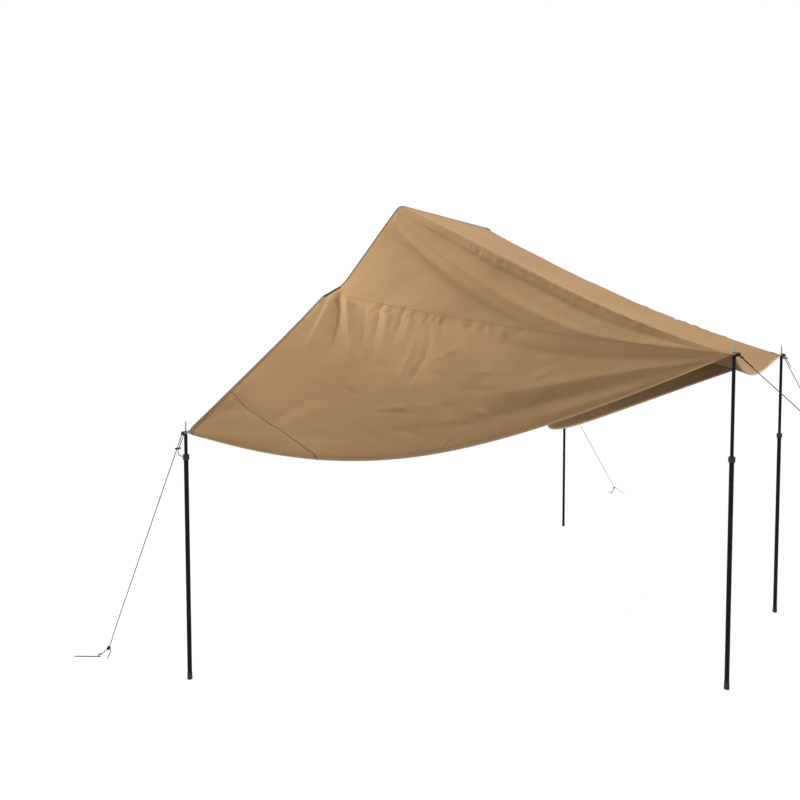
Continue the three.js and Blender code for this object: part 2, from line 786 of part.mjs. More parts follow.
// The webbing lies on the outside of the cloth, from the rear corner up to the knee.
function addEdgeStrap(name, acrossOf) {
  const lift = (bindingThickness + strapThickness) / 2 + strapGap;
  const acrossShares = strapPlaceShares.map((share) => {
    if (share < seamStartShare) return rearCornerShare + (1 - rearCornerShare) * (share / seamStartShare);
    return 1 + (kneeShare * (share - seamStartShare)) / (1 - seamStartShare);
  });
  const across = acrossShares.map(acrossOf).sort((a, b) => a - b);
  const rows = [0, strapWidth / ridgeLength].map((along) =>
    across.map((place) => {
      const normal = clothNormal(slopeStep, place);
      return { point: clothPoint(along, place).addScaledVector(normal, lift), normal };
    }),
  );
  addPiece(name, sheet(rows, strapThickness), webbing);
}
addEdgeStrap("near_edge_strap", (place) => place);
addEdgeStrap("far_edge_strap", (place) => 5 - place);

// A corner tab: flat round its eyelet, and drawn out to the cloth's mouth at its outer rim.
function cornerTab(centre, mouth, rimGap) {
  const up = new THREE.Vector3(0, 0, 1);
  const turnOf = (point) => Math.atan2(point.y - centre.y, point.x - centre.x);
  const reachOf = (point) => Math.hypot(point.x - centre.x, point.y - centre.y);
  const stops = [];
  for (const { point, normal } of mouth) {
    const before = stops.length > 0 ? stops[stops.length - 1].turn : turnOf(point);
    const change = THREE.MathUtils.euclideanModulo(turnOf(point) - before + Math.PI, 2 * Math.PI) - Math.PI;
    const reach = reachOf(point) - rimGap;
    stops.push({ turn: before + change, reach, height: point.z - centre.z, normal });
  }
  // Where the wing hangs back under the upper panel, the places on the tab's flat ring keep their order.
  const forward = [];
  for (const [i, { turn }] of stops.entries()) {
    forward.push(i > 0 ? Math.max(turn, forward[i - 1] + tabRingStep) : turn);
  }
  let backward = Infinity;
  for (let i = stops.length - 1; i >= 0; i -= 1) {
    backward = Math.min(stops[i].turn, backward - tabRingStep);
    stops[i].ringTurn = (forward[i] + backward) / 2;
  }
  const first = stops[0].turn;
  const last = stops[stops.length - 1];
  const tangentTurn = (stop) => Math.acos(tabBackRadius / stop.reach);
  const backFrom = last.turn + tangentTurn(last);
  const backTo = first + 2 * Math.PI - tangentTurn(stops[0]);
  const easing = (stop, turn, tangent) => {
    const reach = tabBackRadius / Math.cos(tangent - turn);
    const share = (reach - tabBackRadius) / (stop.reach - tabBackRadius);
    return { turn, reach, height: stop.height * share ** 2, normal: up };
  };
  const rim = [...stops];
  for (const turn of between(last.turn, backFrom, tabBackSteps / 3).slice(1)) {
    rim.push(easing(last, turn, backFrom));
  }
  for (const turn of between(backFrom, backTo, tabBackSteps).slice(1)) {
    rim.push({ turn, reach: tabBackRadius, height: 0, normal: up });
  }
  for (const turn of between(backTo, first + 2 * Math.PI, tabBackSteps / 3).slice(1, -1)) {
    rim.push(easing(stops[0], turn, backTo));
  }
  const rows = [0, 1, 2, 3].map((row) =>
    rim.map(({ turn, ringTurn = turn, reach, height, normal }) => {
      const middle = (tabFlatRadius + reach) / 2;
      const way = [ringTurn, ringTurn, (ringTurn + turn) / 2, turn][row];
      const radius = [tabHoleRadius, tabFlatRadius, middle, reach][row];
      const share = Math.max(0, (radius - tabFlatRadius) / (reach - tabFlatRadius));
      const point = new THREE.Vector3(
        centre.x + radius * Math.cos(way),
        centre.y + radius * Math.sin(way),
        centre.z + height * share,
      );
      return { point, normal: row === 3 ? normal : up };
    }),
  );
  return sheet(rows, tabThickness, true);
}

// Each side's mouths: the ends of its panels at the two poles, walked anticlockwise seen from above.
function mouthOf(along, acrossShares, clockwise) {
  const places = acrossShares.map((across) => ({
    point: clothPoint(along, across),
    normal: clothNormal(along, across),
  }));
  return clockwise ? places.reverse() : places;
}
const wingMouthAcross = [0, chamferShare / 2, chamferShare];
const outerMouthAcross = [0, 0.5, 1, 1.5, 2, 2 + chamferShare / 2, 2 + chamferShare];
const farSide = (places) => places.map((place) => 5 - place);

// The eyelet is crimped through the tab's hole, with a flange above and below the cloth.
const eyeletGeometry = turned(
  ring([
    [eyeletBoreRadius, -eyeletHeight / 2],
    [eyeletFlangeRadius, -eyeletHeight / 2],
    [eyeletFlangeRadius, -eyeletHeight / 2 + eyeletFlange],
    [eyeletNeckRadius, -eyeletHeight / 2 + eyeletFlange],
    [eyeletNeckRadius, eyeletHeight / 2 - eyeletFlange],
    [eyeletFlangeRadius, eyeletHeight / 2 - eyeletFlange],
    [eyeletFlangeRadius, eyeletHeight / 2],
    [eyeletBoreRadius, eyeletHeight / 2],
  ]),
  pinSides,
);

// The spike: a plug in the upper tube's head, a flange on its rim and a pin that tapers at its tip.
const spikeGeometry = turned(
  [
    [0, -spikeFlange - spikePlugLength],
    [upperTubeRadius - tubeWall - seatGap, -spikeFlange - spikePlugLength],
    [upperTubeRadius - tubeWall - seatGap, -spikeFlange],
    [upperTubeRadius, -spikeFlange],
    [upperTubeRadius, 0],
    [spikeRadius, 0],
    [spikeRadius, spikeLength - spikeTipLength],
    [spikeTipRadius, spikeLength],
    [0, spikeLength],
  ],
  pinSides,
);

const tubeProfile = (radius, bottom, top) =>
  ring([
    [radius - tubeWall, bottom],
    [radius, bottom],
    [radius, top],
    [radius - tubeWall, top],
  ]);

// The rubber foot: a cup with a flat sole, flared a little above its rounded rim.
const footGeometry = turned(
  [
    [0, 0],
    [footSoleRadius, 0],
    [footRadius, footRounding],
    [footMouthRadius, footHeight],
    [lowerTubeRadius + seatGap, footHeight],
    [lowerTubeRadius + seatGap, footFloor],
    [0, footFloor],
  ],
  tubeSides,
);
const lowerTubeTop = lockHeight + collarHeight / 2 - collarLip - sleeveHeadHeight - 2 * seatGap;
const lowerTubeGeometry = turned(
  tubeProfile(lowerTubeRadius, footFloor + seatGap, lowerTubeTop),
  tubeSides,
);

// The lock sleeve: fingers inside the lower tube and a tapered head above it, split along one side.
const sleeveBore = upperTubeRadius + seatGap;
const sleeveFoot = lowerTubeTop + seatGap;
const sleeveTop = sleeveFoot + sleeveHeadHeight;
const sleeveInsertRadius = lowerTubeRadius - tubeWall - seatGap;
const wholeSleeve = solidOf(
  turned(
    ring([
      [sleeveBore, lowerTubeTop - sleeveInsertLength],
      [sleeveInsertRadius, lowerTubeTop - sleeveInsertLength],
      [sleeveInsertRadius, sleeveFoot],
      [sleeveHeadRadius, sleeveFoot],
      [sleeveHeadRadius, sleeveTop - sleeveTaper],
      [sleeveHeadRadius - sleeveTaper, sleeveTop],
      [sleeveBore, sleeveTop],
    ]),
    tubeSides,
  ),
);
const slotKnife = new THREE.BoxGeometry(
  2 * sleeveHeadRadius,
  sleeveSlot,
  4 * (sleeveHeadHeight + sleeveInsertLength),
);
slotKnife.translate(sleeveHeadRadius, 0, sleeveFoot);
const sleeveGeometry = geometryOf(wholeSleeve.subtract(solidOf(slotKnife)));

// The twist collar: a chamfered nut round the sleeve's head, with upright ribs for the hand.
const collarTop = sleeveTop + seatGap + collarLip;
const collarFoot = collarTop - collarHeight;
const collarCavity = sleeveHeadRadius + seatGap;
const collarRows = [
  [collarCavity, collarFoot],
  [collarRadius - collarChamfer, collarFoot],
  [collarRadius, collarFoot + collarChamfer],
  [collarRadius, collarTop - collarChamfer],
  [collarRadius - collarChamfer, collarTop],
  [sleeveBore + seatGap, collarTop],
  [sleeveBore + seatGap, collarTop - collarLip],
  [collarCavity, collarTop - collarLip],
];
const collarGeometry = turned(ring(collarRows), 2 * collarRibs);
const collarPlaces = collarGeometry.attributes.position;
for (let i = 0; i < collarPlaces.count; i += 1) {
  const [x, y] = [collarPlaces.getX(i), collarPlaces.getY(i)];
  const radius = Math.hypot(x, y);
  if (radius > collarRadius - collarChamfer / 2) {
    const groove = Math.cos(collarRibs * Math.atan2(y, x));
    const scale = (radius + (collarRib * (groove - 1)) / 2) / radius;
    collarPlaces.setXY(i, x * scale, y * scale);
  }
}

// A cord's route, walked from point to point so that its short bends get as many steps as its long runs.
class Route extends THREE.CatmullRomCurve3 {
  getPointAt(share, target) {
    return this.getPoint(share, target);
  }
  getTangentAt(share, target) {
    return this.getTangent(share, target);
  }
}

function roundSection(radius, sides) {
  const section = new THREE.Shape();
  for (let i = 0; i < sides; i += 1) {
    const turn = (2 * Math.PI * i) / sides;
    const [x, y] = [radius * Math.cos(turn), radius * Math.sin(turn)];
    if (i === 0) section.moveTo(x, y);
    else section.lineTo(x, y);
  }
  section.closePath();
  return section;
}

function rod(points, radius, sides, steps) {
  const places = points.map((point) => new THREE.Vector3(...point));
  const route = new Route(places, false, "centripetal");
  return new THREE.ExtrudeGeometry(roundSection(radius, sides), { steps, extrudePath: route, bevelEnabled: false });
}

// The runner: a flat bar with a hole for each strand, drawn with its holes along Z.
function runnerGeometry() {
  const half = (runnerLength - runnerWidth) / 2;
  const outline = new THREE.Shape();
  outline.absarc(half, 0, runnerWidth / 2, -Math.PI / 2, Math.PI / 2, false);
  outline.absarc(-half, 0, runnerWidth / 2, Math.PI / 2, (3 * Math.PI) / 2, false);
  for (const side of [-1, 1]) {
    const hole = new THREE.Path();
    hole.absarc((side * cordSpread) / 2, 0, cordRadius + runnerHoleClearance, 0, 2 * Math.PI, true);
    outline.holes.push(hole);
  }
  const bar = new THREE.ExtrudeGeometry(outline, {
    depth: runnerThickness,
    bevelEnabled: false,
    curveSegments: pinSides / 2,
  });
  bar.translate(0, 0, -runnerThickness / 2);
  return bar;
}

// The peg: a steel rod that lies on the ground, with its hook standing up at the end near the pole.
function pegGeometry() {
  const low = pegGroundGap + pegRadius;
  const hookTurns = [-90, -55, -20, 15, 50, 85, 120, 155];
  const hook = hookTurns.map((degrees) => {
    const turn = THREE.MathUtils.degToRad(degrees);
    return [pegHookRadius * Math.cos(turn), 0, low + pegHookRadius + pegHookRadius * Math.sin(turn)];
  });
  const shank = [1, 0.66, 0.33, 0.1].map((share) => [-pegLength * share, 0, low]);
  return rod([...shank, ...hook], pegRadius, cordSides, pegSteps);
}

function addPole(name, x, y, height, centre, mouth, rimGap) {
  addPiece(`${name}_corner_tab`, cornerTab(centre, mouth, rimGap), hemCloth);
  const eyelet = addPiece(`${name}_eyelet`, eyeletGeometry, zincSteel);
  eyelet.position.set(x, y, height + tabLift);
  const spike = addPiece(`${name}_spike`, spikeGeometry, zincSteel);
  spike.position.set(x, y, height);
  const tubeTop = height - spikeFlange - seatGap;
  const upperTube = turned(tubeProfile(upperTubeRadius, tubeTop - upperTubeLength, tubeTop), tubeSides);
  const standing = [
    ["upper_tube", upperTube, blackSteel],
    ["lower_tube", lowerTubeGeometry, blackSteel],
    ["lock_sleeve", sleeveGeometry, blackPlastic],
    ["lock_collar", collarGeometry, blackPlastic],
    ["foot", footGeometry, rubber],
  ];
  for (const [kind, geometry, material] of standing) {
    const piece = addPiece(`${name}_${kind}`, geometry, material);
    piece.position.set(x, y, 0);
  }
}

function addGuy(name, x, y, height, route, knotPlace, runnerDrop, hook, pegTurn) {
  addPiece(`${name}_guy_line`, rod(route, cordRadius, cordSides, cordSteps), cord);
  const knot = new THREE.Vector3(...knotPlace);
  const head = new THREE.Vector3(x, y, height + cordLift);
  const out = new THREE.Vector3(knot.x - head.x, knot.y - head.y, 0).normalize();
  const across = new THREE.Vector3(-out.y, out.x, 0);
  const top = head.clone().addScaledVector(out, loopOffset + strandStart);
  top.addScaledVector(across, cordSpread / 2);
  top.z -= strandStartDrop;
  const downLine = knot.sub(top).normalize();
  const centre = top.addScaledVector(downLine, runnerDrop).addScaledVector(across, -cordSpread / 2);
  const basis = new THREE.Matrix4().makeBasis(across, downLine.clone().cross(across), downLine);
  basis.setPosition(centre);
  const runner = addPiece(`${name}_runner`, runnerGeometry(), blackPlastic);
  runner.applyMatrix4(basis);
  const peg = addPiece(`${name}_peg`, pegGeometry(), zincSteel);
  peg.position.set(hook[0], hook[1], 0);
  peg.rotation.z = pegTurn;
}

addPole(
  "near_wing",
  -wingPoleBack,
  -wingPoleSpread,
  wingPoleHeight,
  near.wing,
  mouthOf(0, wingMouthAcross, false),
  wingTabGap,
);
addPole(
  "near_outer",
  nearOuterPoleOut,
  -outerPoleSpread,
  outerPoleHeight,
  near.outer,
  mouthOf(1, outerMouthAcross, true),
  outerTabGap,
);
addPole(
  "far_outer",
  farOuterPoleOut,
  outerPoleSpread,
  outerPoleHeight,
  far.outer,
  mouthOf(1, farSide(outerMouthAcross), false),
  outerTabGap,
);
addPole(
  "far_wing",
  -wingPoleBack,
  wingPoleSpread,
  wingPoleHeight,
  far.wing,
  mouthOf(0, farSide(wingMouthAcross), true),
  wingTabGap,
);

addGuy(
  "near_wing",
  -wingPoleBack,
  -wingPoleSpread,
  wingPoleHeight,
  nearWingGuyRoute,
  nearWingKnot,
  wingRunnerDrop,
  nearWingHook,
  nearWingPegTurn,
);
addGuy(
  "near_outer",
  nearOuterPoleOut,
  -outerPoleSpread,
  outerPoleHeight,
  nearOuterGuyRoute,
  nearOuterKnot,
  outerRunnerDrop,
  nearOuterHook,
  nearOuterPegTurn,
);
addGuy(
  "far_outer",
  farOuterPoleOut,
  outerPoleSpread,
  outerPoleHeight,
  farOuterGuyRoute,
  farOuterKnot,
  outerRunnerDrop,
  farOuterHook,
  farOuterPegTurn,
);
addGuy(
  "far_wing",
  -wingPoleBack,
  wingPoleSpread,
  wingPoleHeight,
  farWingGuyRoute,
  farWingKnot,
  wingRunnerDrop,
  farWingHook,
  farWingPegTurn,
);

export default canopy;
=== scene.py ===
import math

import bpy
import numpy as np
from mathutils import Matrix, Vector


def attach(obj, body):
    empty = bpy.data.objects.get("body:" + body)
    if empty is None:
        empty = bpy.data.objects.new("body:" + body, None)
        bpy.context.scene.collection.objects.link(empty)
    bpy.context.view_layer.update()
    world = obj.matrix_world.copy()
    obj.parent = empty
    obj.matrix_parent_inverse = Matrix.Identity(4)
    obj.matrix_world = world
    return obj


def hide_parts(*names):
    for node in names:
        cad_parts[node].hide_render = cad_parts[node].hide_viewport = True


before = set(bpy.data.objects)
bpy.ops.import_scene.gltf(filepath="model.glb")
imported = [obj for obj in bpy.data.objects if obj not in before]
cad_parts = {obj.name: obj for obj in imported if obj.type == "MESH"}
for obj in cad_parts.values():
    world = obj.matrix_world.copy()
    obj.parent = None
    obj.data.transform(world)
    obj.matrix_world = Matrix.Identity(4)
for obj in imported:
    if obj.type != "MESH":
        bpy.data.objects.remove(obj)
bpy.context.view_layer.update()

# The camera stands where the photograph was taken from. Its place is in metres, its turns are in radians,
# and its lens and sensor are in millimetres.
LENS = 34.28
SENSOR = 36.0
CLIP_START, CLIP_END = 0.05, 200
CAMERA_PLACE = Vector((2.5117, -5.0382, 1.7928))
LOOK_TURN = 2.2180
LOOK_DOWN = 0.0552
LOOK_ROLL = -0.0018

# Where the poles stand and how high their heads are.
WING_X, WING_Y, WING_HEAD = -0.945, 2.42, 1.38
NEAR_OUTER_X, FAR_OUTER_X, OUTER_Y, OUTER_HEAD = 1.49, 1.435, 0.76, 1.806
POLES = {
    "near_wing": (WING_X, -WING_Y, WING_HEAD),
    "near_outer": (NEAR_OUTER_X, -OUTER_Y, OUTER_HEAD),
    "far_outer": (FAR_OUTER_X, OUTER_Y, OUTER_HEAD),
    "far_wing": (WING_X, WING_Y, WING_HEAD),
}
TAB_LIFT = 0.0036

# The guy lines: the knot above each peg, each line's length, and how far down it the runner sits.
PEG_KNOTS = {
    "near_wing": (-1.584, -2.521, 0.06),
    "near_outer": (3.135, 0.16, 0.064),
    "far_outer": (2.135, 1.758, 0.064),
    "far_wing": (-1.225, 4.56, 0.09),
}
RUNNER_DROPS = {"near_wing": 0.105, "near_outer": 0.034, "far_outer": 0.034, "far_wing": 0.105}
CORD_THICKNESS = 0.0044
CORD_LIFT, LOOP_OUT = 0.011, 0.002
STRAND_SPREAD, STRAND_OUT, STRAND_DROP = 0.015, 0.014, 0.002
# Where each peg's hook lies and which way the peg points, in degrees, and how high the cord bears on it.
PEG_HOOKS = {
    "near_wing": (-1.635, -2.545, 35.3),
    "near_outer": (3.201, 0.2, -148.8),
    "far_outer": (2.169, 1.812, -122.2),
    "far_wing": (-1.271, 4.59, -53.1),
}
HOOK_BEARING = 0.0123
# The wing pegs' ways on the ground, and how much higher the near outer line leaves its loop.
WING_PEG_WAYS = {"near_wing": (0.816, 0.578), "far_wing": (0.6, -0.8)}
LOOP_LIFTS = {"near_outer": (0.0006, 0.0008)}
# The short tails beyond the knots of the wing pegs.
WING_TAILS = {
    "near_wing": [(-1.588, -2.506, 0.038), (-1.589, -2.515, 0.014), (-1.571, -2.54, 0.004)],
    "far_wing": [(-1.195, 4.625, 0.062), (-1.186, 4.69, 0.024), (-1.14, 4.712, 0.004)],
}


def add_camera():
    forward = Vector((
        math.cos(LOOK_TURN) * math.cos(LOOK_DOWN),
        math.sin(LOOK_TURN) * math.cos(LOOK_DOWN),
        -math.sin(LOOK_DOWN),
    ))
    level = Vector((math.sin(LOOK_TURN), -math.cos(LOOK_TURN), 0))
    right = level * math.cos(LOOK_ROLL) + level.cross(forward) * math.sin(LOOK_ROLL)
    up = right.cross(forward)
    camera = bpy.data.objects.new("photo_camera", bpy.data.cameras.new("photo_camera"))
    camera.data.lens = LENS
    camera.data.sensor_width = SENSOR
    camera.data.clip_start, camera.data.clip_end = CLIP_START, CLIP_END
    turn = Matrix((right, up, -forward)).transposed().to_4x4()
    camera.matrix_world = Matrix.Translation(CAMERA_PLACE) @ turn
    bpy.context.collection.objects.link(camera)
    bpy.context.scene.camera = camera


add_camera()


class Value:
    """A number, colour or vector on its way through the nodes of a material or of the world."""

    def __init__(self, owner, socket):
        self.owner, self.socket = owner, socket

    def math(self, operation, *others):
        return self.owner.node("ShaderNodeMath", {"operation": operation}, [self, *others])

    def __add__(self, other):
        return self.math("ADD", other)

    def __sub__(self, other):
        return self.math("SUBTRACT", other)

    def __rsub__(self, other):
        return self.owner.node("ShaderNodeMath", {"operation": "SUBTRACT"}, [other, self])

    def __mul__(self, other):
        return self.math("MULTIPLY", other)

    __radd__, __rmul__ = __add__, __mul__

    def between(self, low, high):
        """0 below low, 1 above high and smooth in between."""
        settings = {"interpolation_type": "SMOOTHSTEP"}
        return self.owner.node("ShaderNodeMapRange", settings, [self, low, high, 0.0, 1.0])


class Nodes:
    """The nodes of a material or of the world."""

    def __init__(self, tree):
        self.tree, self.nodes = tree, tree.nodes

    def plug(self, socket, value):
        if isinstance(value, Value):
            self.tree.links.new(value.socket, socket)
        else:
            socket.default_value = value

    def node(self, kind, settings, values, output=0):
        """A node with its settings, then the values or links of its sockets, by order or by name."""
        made = self.nodes.new(kind)
        for setting, value in settings.items():
            setattr(made, setting, value)
        named = values.items() if isinstance(values, dict) else enumerate(values)
        for socket, value in named:
            self.plug(made.inputs[socket], value)
        return Value(self, made.outputs[output])

    def seen(self):
        """1 for what the camera sees straight, mirrored or through something clear, and 0 for the rest."""
        path = self.nodes.new("ShaderNodeLightPath")
        straight, mirrored, through = (
            Value(self, path.outputs[f"Is {ray} Ray"]) for ray in ("Camera", "Glossy", "Transmission")
        )
        return (straight + mirrored + through).math("MINIMUM", 1.0)


class Finish(Nodes):
    """A material, made from its plain settings and the values that change over the surface."""

    def __init__(self, name, colour, roughness, metallic=0.0, **plain):
        self.material = bpy.data.materials.new(name)
        self.material.use_nodes = True
        super().__init__(self.material.node_tree)
        self.shader = self.nodes["Principled BSDF"]
        plain.update(Base_Color=(*colour, 1), Roughness=roughness, Metallic=metallic)
        for socket, value in plain.items():
            self.shader.inputs[socket.replace("_", " ")].default_value = value
        self.material.diffuse_color = (*colour, 1)

    def where(self):
        return self.node("ShaderNodeTexCoord", {}, [], output="Object")

    def cut(self):
        """The place on the flat cut, in metres, as one vector and as its parts along and across."""
        uv = self.node("ShaderNodeUVMap", {"uv_map": "cut"}, [])
        split = self.node("ShaderNodeSeparateXYZ", {}, [uv]).socket.node
        return uv, Value(self, split.outputs[0]), Value(self, split.outputs[1])

    def noise(self, vector, scale, detail=2.0, roughness=0.5):
        values = {"Vector": vector, "Scale": scale, "Detail": detail, "Roughness": roughness}
        return self.node("ShaderNodeTexNoise", {}, values)

    def streaks(self, vector, scale, detail):
        """Noise that is drawn out where its scale is small."""
        drawn = self.node("ShaderNodeVectorMath", {"operation": "MULTIPLY"}, [vector, scale])
        return self.noise(drawn, 1.0, detail)

    def mixed(self, factor, dark, light):
        values = {0: factor, 6: (*dark, 1), 7: (*light, 1)}
        return self.node("ShaderNodeMix", {"data_type": "RGBA"}, values, output=2)

    def paint(self, colour, roughness, height, depth, strength=1.0):
        """Joins the finished colour, roughness and relief to the shader."""
        relief = self.node("ShaderNodeBump", {}, {"Height": height, "Distance": depth, "Strength": strength})
        for socket, value in (("Base Color", colour), ("Roughness", roughness), ("Normal", relief)):
            self.plug(self.shader.inputs[socket], value)
        return self.material


# How far apart threads, stitches, ribs and the turns of the braid lie.
THREAD_PITCH, STITCH_PITCH, RIB_PITCH, BRAID_PITCH = 0.0012, 0.0034, 0.0017, 0.0052
BRAID_STRANDS = 4
SOFT = {"Sheen_Weight": 0.04, "Sheen_Roughness": 0.5, "Specular_IOR_Level": 0.2}
HARD_WOVEN = {"Sheen_Weight": 0.1, "Specular_IOR_Level": 0.35}


def waves(place, pitch):
    return (place * (2 * math.pi / pitch)).math("SINE")


def plain_weave(along, across):
    """The threads of both ways pass over each other by turns."""
    return waves(along, THREAD_PITCH) * waves(across, THREAD_PITCH)


def canvas(name, colour, dark, light):
    """Cotton canvas with a plain weave, thicker threads here and there and soft mottling."""
    made = Finish(name, colour, 0.86, **SOFT)
    uv, along, across = made.cut()
    cloudy = made.noise(uv, 2.2, 3.0).between(0.3, 0.7)
    slub_along = made.streaks(uv, (22, 900, 1), 1.0)
    slub_across = made.streaks(uv, (900, 22, 1), 1.0)
    weave = plain_weave(along, across)
    shade = 0.45 * cloudy + 0.3 * slub_along + 0.25 * slub_across + 0.05 * weave
    crumple = made.noise(uv, 34.0, 3.0, 0.55)
    height = 0.25 * weave + 0.5 * (slub_along + slub_across) + 2.2 * crumple
    roughness = 0.78 + 0.14 * slub_along
    return made.paint(made.mixed(shade, dark, light), roughness, height, depth=0.0011, strength=0.5)


def stitched(name, dark, light, row, rim=0.0):
    """Folded and sewn canvas with a row of stitches. rim lightens its outer edge, and below zero darkens that
    edge with painted shade.
    """
    made = Finish(name, TAN, 0.84, **SOFT)
    uv, along, across = made.cut()
    weave = plain_weave(along, across)
    slub = made.streaks(uv, (40, 900, 1), 1.0)
    # The stitch row is painted darker, as shade in the groove that the stitches pull in. The thread within
    # the row is lighter.
    seam = 1 - (across - row).math("ABSOLUTE").between(0.0006, 0.0014)
    thread = seam * waves(along, STITCH_PITCH).between(-0.75, -0.35)
    pucker = made.streaks(uv, (110, 30, 1), 2.0)
    shade = 0.6 * slub + 0.1 * weave + 0.3 * pucker - 0.6 * (seam - 0.5 * thread)
    # A positive rim lightens the outer edge. A negative rim darkens it with painted shade.
    shade = shade + rim * (1 - across.between(0.0045, 0.0085))
    height = 0.2 * weave + 0.5 * slub + 0.9 * pucker + 1.1 * thread - 0.8 * seam
    return made.paint(made.mixed(shade, dark, light), 0.84, height, depth=0.0009, strength=0.6)


def ribbed(name, colour, dark, light):
    """Woven webbing, with ribs across its width and a selvedge."""
    made = Finish(name, colour, 0.75, **HARD_WOVEN)
    uv, along, across = made.cut()
    ribs = waves(along, RIB_PITCH)
    fibres = made.streaks(uv, (260, 1500, 1), 2.0)
    dust = made.noise(uv, 26.0, 3.0)
    shade = 0.5 * fibres + 0.3 * dust + 0.2 * ribs
    height = 0.7 * ribs + 0.5 * fibres + 0.1 * across
    return made.paint(made.mixed(shade, dark, light), 0.7 + 0.2 * fibres, height, depth=0.0005, strength=0.6)


def braided(name, colour, dark, light):
    """A round braid: two sets of strands that cross as they wind round the cord."""
    made = Finish(name, colour, 0.7, **HARD_WOVEN)
    uv, along, across = made.cut()
    run = along * (2 * math.pi / BRAID_PITCH)
    turn = across * (2 * BRAID_STRANDS / CORD_THICKNESS)
    braid = (run + turn).math("SINE").math("MAXIMUM", (run - turn).math("SINE"))
    fibres = made.noise(uv, 900.0, 2.0)
    shade = 0.55 * braid.between(-0.4, 1.0) + 0.45 * fibres
    return made.paint(made.mixed(shade, dark, light), 0.6 + 0.25 * fibres, braid + 0.4 * fibres, depth=0.0004)


def coated_steel():
    """Black powder coat: fine orange peel, dust and faint upright rubs from sliding in and out."""
    made = Finish("black_powder_coat", (0.012, 0.012, 0.013), 0.45, Specular_IOR_Level=0.12)
    place = made.where()
    peel = made.noise(place, 900.0, 2.0)
    dust = made.noise(place, 9.0, 4.0, 0.6)
    rubs = made.streaks(place, (700, 700, 6), 2.0).between(0.62, 0.8)
    shade = 0.3 * dust.between(0.4, 0.8) + 0.5 * rubs * dust
    colour = made.mixed(shade, (0.005, 0.005, 0.006), (0.035, 0.035, 0.037))
    return made.paint(colour, 0.4 + 0.16 * dust + 0.1 * rubs, peel, depth=0.00012, strength=0.5)


def drawn_steel(name, dark, light):
    """Plated steel with drawn lines, a soft bloom and dull patches."""
    dark, light = (dark,) * 3, (light,) * 3
    made = Finish(name, light, 0.42, metallic=1.0)
    place = made.where()
    drawn = made.streaks(place, (1400, 1400, 60), 2.0)
    bloom = made.noise(place, 130.0, 4.0, 0.6).between(0.35, 0.75)
    colour = made.mixed(0.35 * drawn + 0.5 * bloom, dark, light)
    return made.paint(colour, 0.34 + 0.14 * drawn + 0.16 * bloom, drawn, depth=0.0001, strength=0.4)


def moulded(name, low, high, roughness, grain):
    """Moulded plastic or rubber with a fine spark-eroded grain and dust in it."""
    made = Finish(name, low, roughness, Specular_IOR_Level=0.4)
    place = made.where()
    texture = made.noise(place, grain, 2.0)
    dust = made.noise(place, 40.0, 4.0, 0.6).between(0.45, 0.8)
    colour = made.mixed(0.35 * texture + 0.5 * dust, low, high)
    return made.paint(colour, roughness - 0.08 + 0.2 * texture, texture, depth=0.0002, strength=0.5)


TAN, SHADED_TAN = (0.425, 0.265, 0.128), (0.29, 0.178, 0.084)
finishes = {
    "canvas": canvas("tan_canvas", TAN, (0.375, 0.229, 0.107), (0.475, 0.302, 0.15)),
    # SHADED_TAN is a darker copy of the tan for the inside of the cloth: painted shade.
    "canvas_inside_shaded": canvas("tan_canvas_inside_painted_shade", SHADED_TAN, (0.2, 0.122, 0.056), (0.265, 0.165, 0.08)),
    "hem": stitched("sewn_hem", (0.3, 0.19, 0.092), (0.7, 0.49, 0.28), 0.0155, 1.0),
    # The rear hem's colours are darker than the hem's, and its outer edge is darker still: painted shade.
    "rear_hem": stitched("shaded_hem", (0.22, 0.138, 0.067), (0.44, 0.276, 0.134), 0.0155, -0.45),
    "seam": stitched("felled_seam", (0.31, 0.197, 0.098), (0.43, 0.28, 0.144), 0.0085),
    # The patch seam's darker colours stand for darker thread and for painted shade in the seam's groove.
    "thread_and_shade_seam": stitched("patch_seam", (0.19, 0.118, 0.057), (0.34, 0.216, 0.108), 0.0085),
    "patch": stitched("corner_patch", (0.36, 0.228, 0.115), (0.46, 0.3, 0.155), 0.049),
    "webbing": ribbed("black_webbing", (0.02, 0.019, 0.018), (0.012, 0.011, 0.01), (0.045, 0.042, 0.038)),
    "tape": ribbed("brown_edge_tape", (0.03, 0.022, 0.016), (0.016, 0.012, 0.009), (0.05, 0.037, 0.026)),
    "cord": braided("braided_cord", (0.022, 0.022, 0.02), (0.009, 0.009, 0.008), (0.042, 0.042, 0.037)),
    "knot": braided("dark_knot", (0.014, 0.014, 0.012), (0.007, 0.007, 0.006), (0.03, 0.03, 0.026)),
    "pole": coated_steel(),
    "zinc": drawn_steel("zinc_plated_steel", 0.2, 0.42),
    "peg_steel": drawn_steel("dark_peg_steel", 0.045, 0.12),
    "plastic": moulded("black_plastic", (0.014, 0.014, 0.015), (0.05, 0.05, 0.052), 0.42, 700.0),
    "rubber": moulded("foot_rubber", (0.012, 0.012, 0.012), (0.06, 0.058, 0.055), 0.62, 420.0),
}


# Small helpers for numbers and places.
def thousandths(rows):
    """Rows of thousandths as metres, or as shares of a panel."""
    return [tuple(value / 1000 for value in row) for row in rows]


def unit(vectors):
    vectors = np.asarray(vectors, float)
    return vectors / np.maximum(np.linalg.norm(vectors, axis=-1, keepdims=True), 1e-12)


def places(along, across):
    """Rows of (along, across) places."""
    return np.stack(np.broadcast_arrays(along, across), axis=-1).astype(float)


def run_length(points, axis=0):
    """The length run up to each point."""
    steps = np.linalg.norm(np.diff(points, axis=axis), axis=-1)
    return np.insert(np.cumsum(steps, axis=axis), 0, 0.0, axis=axis)


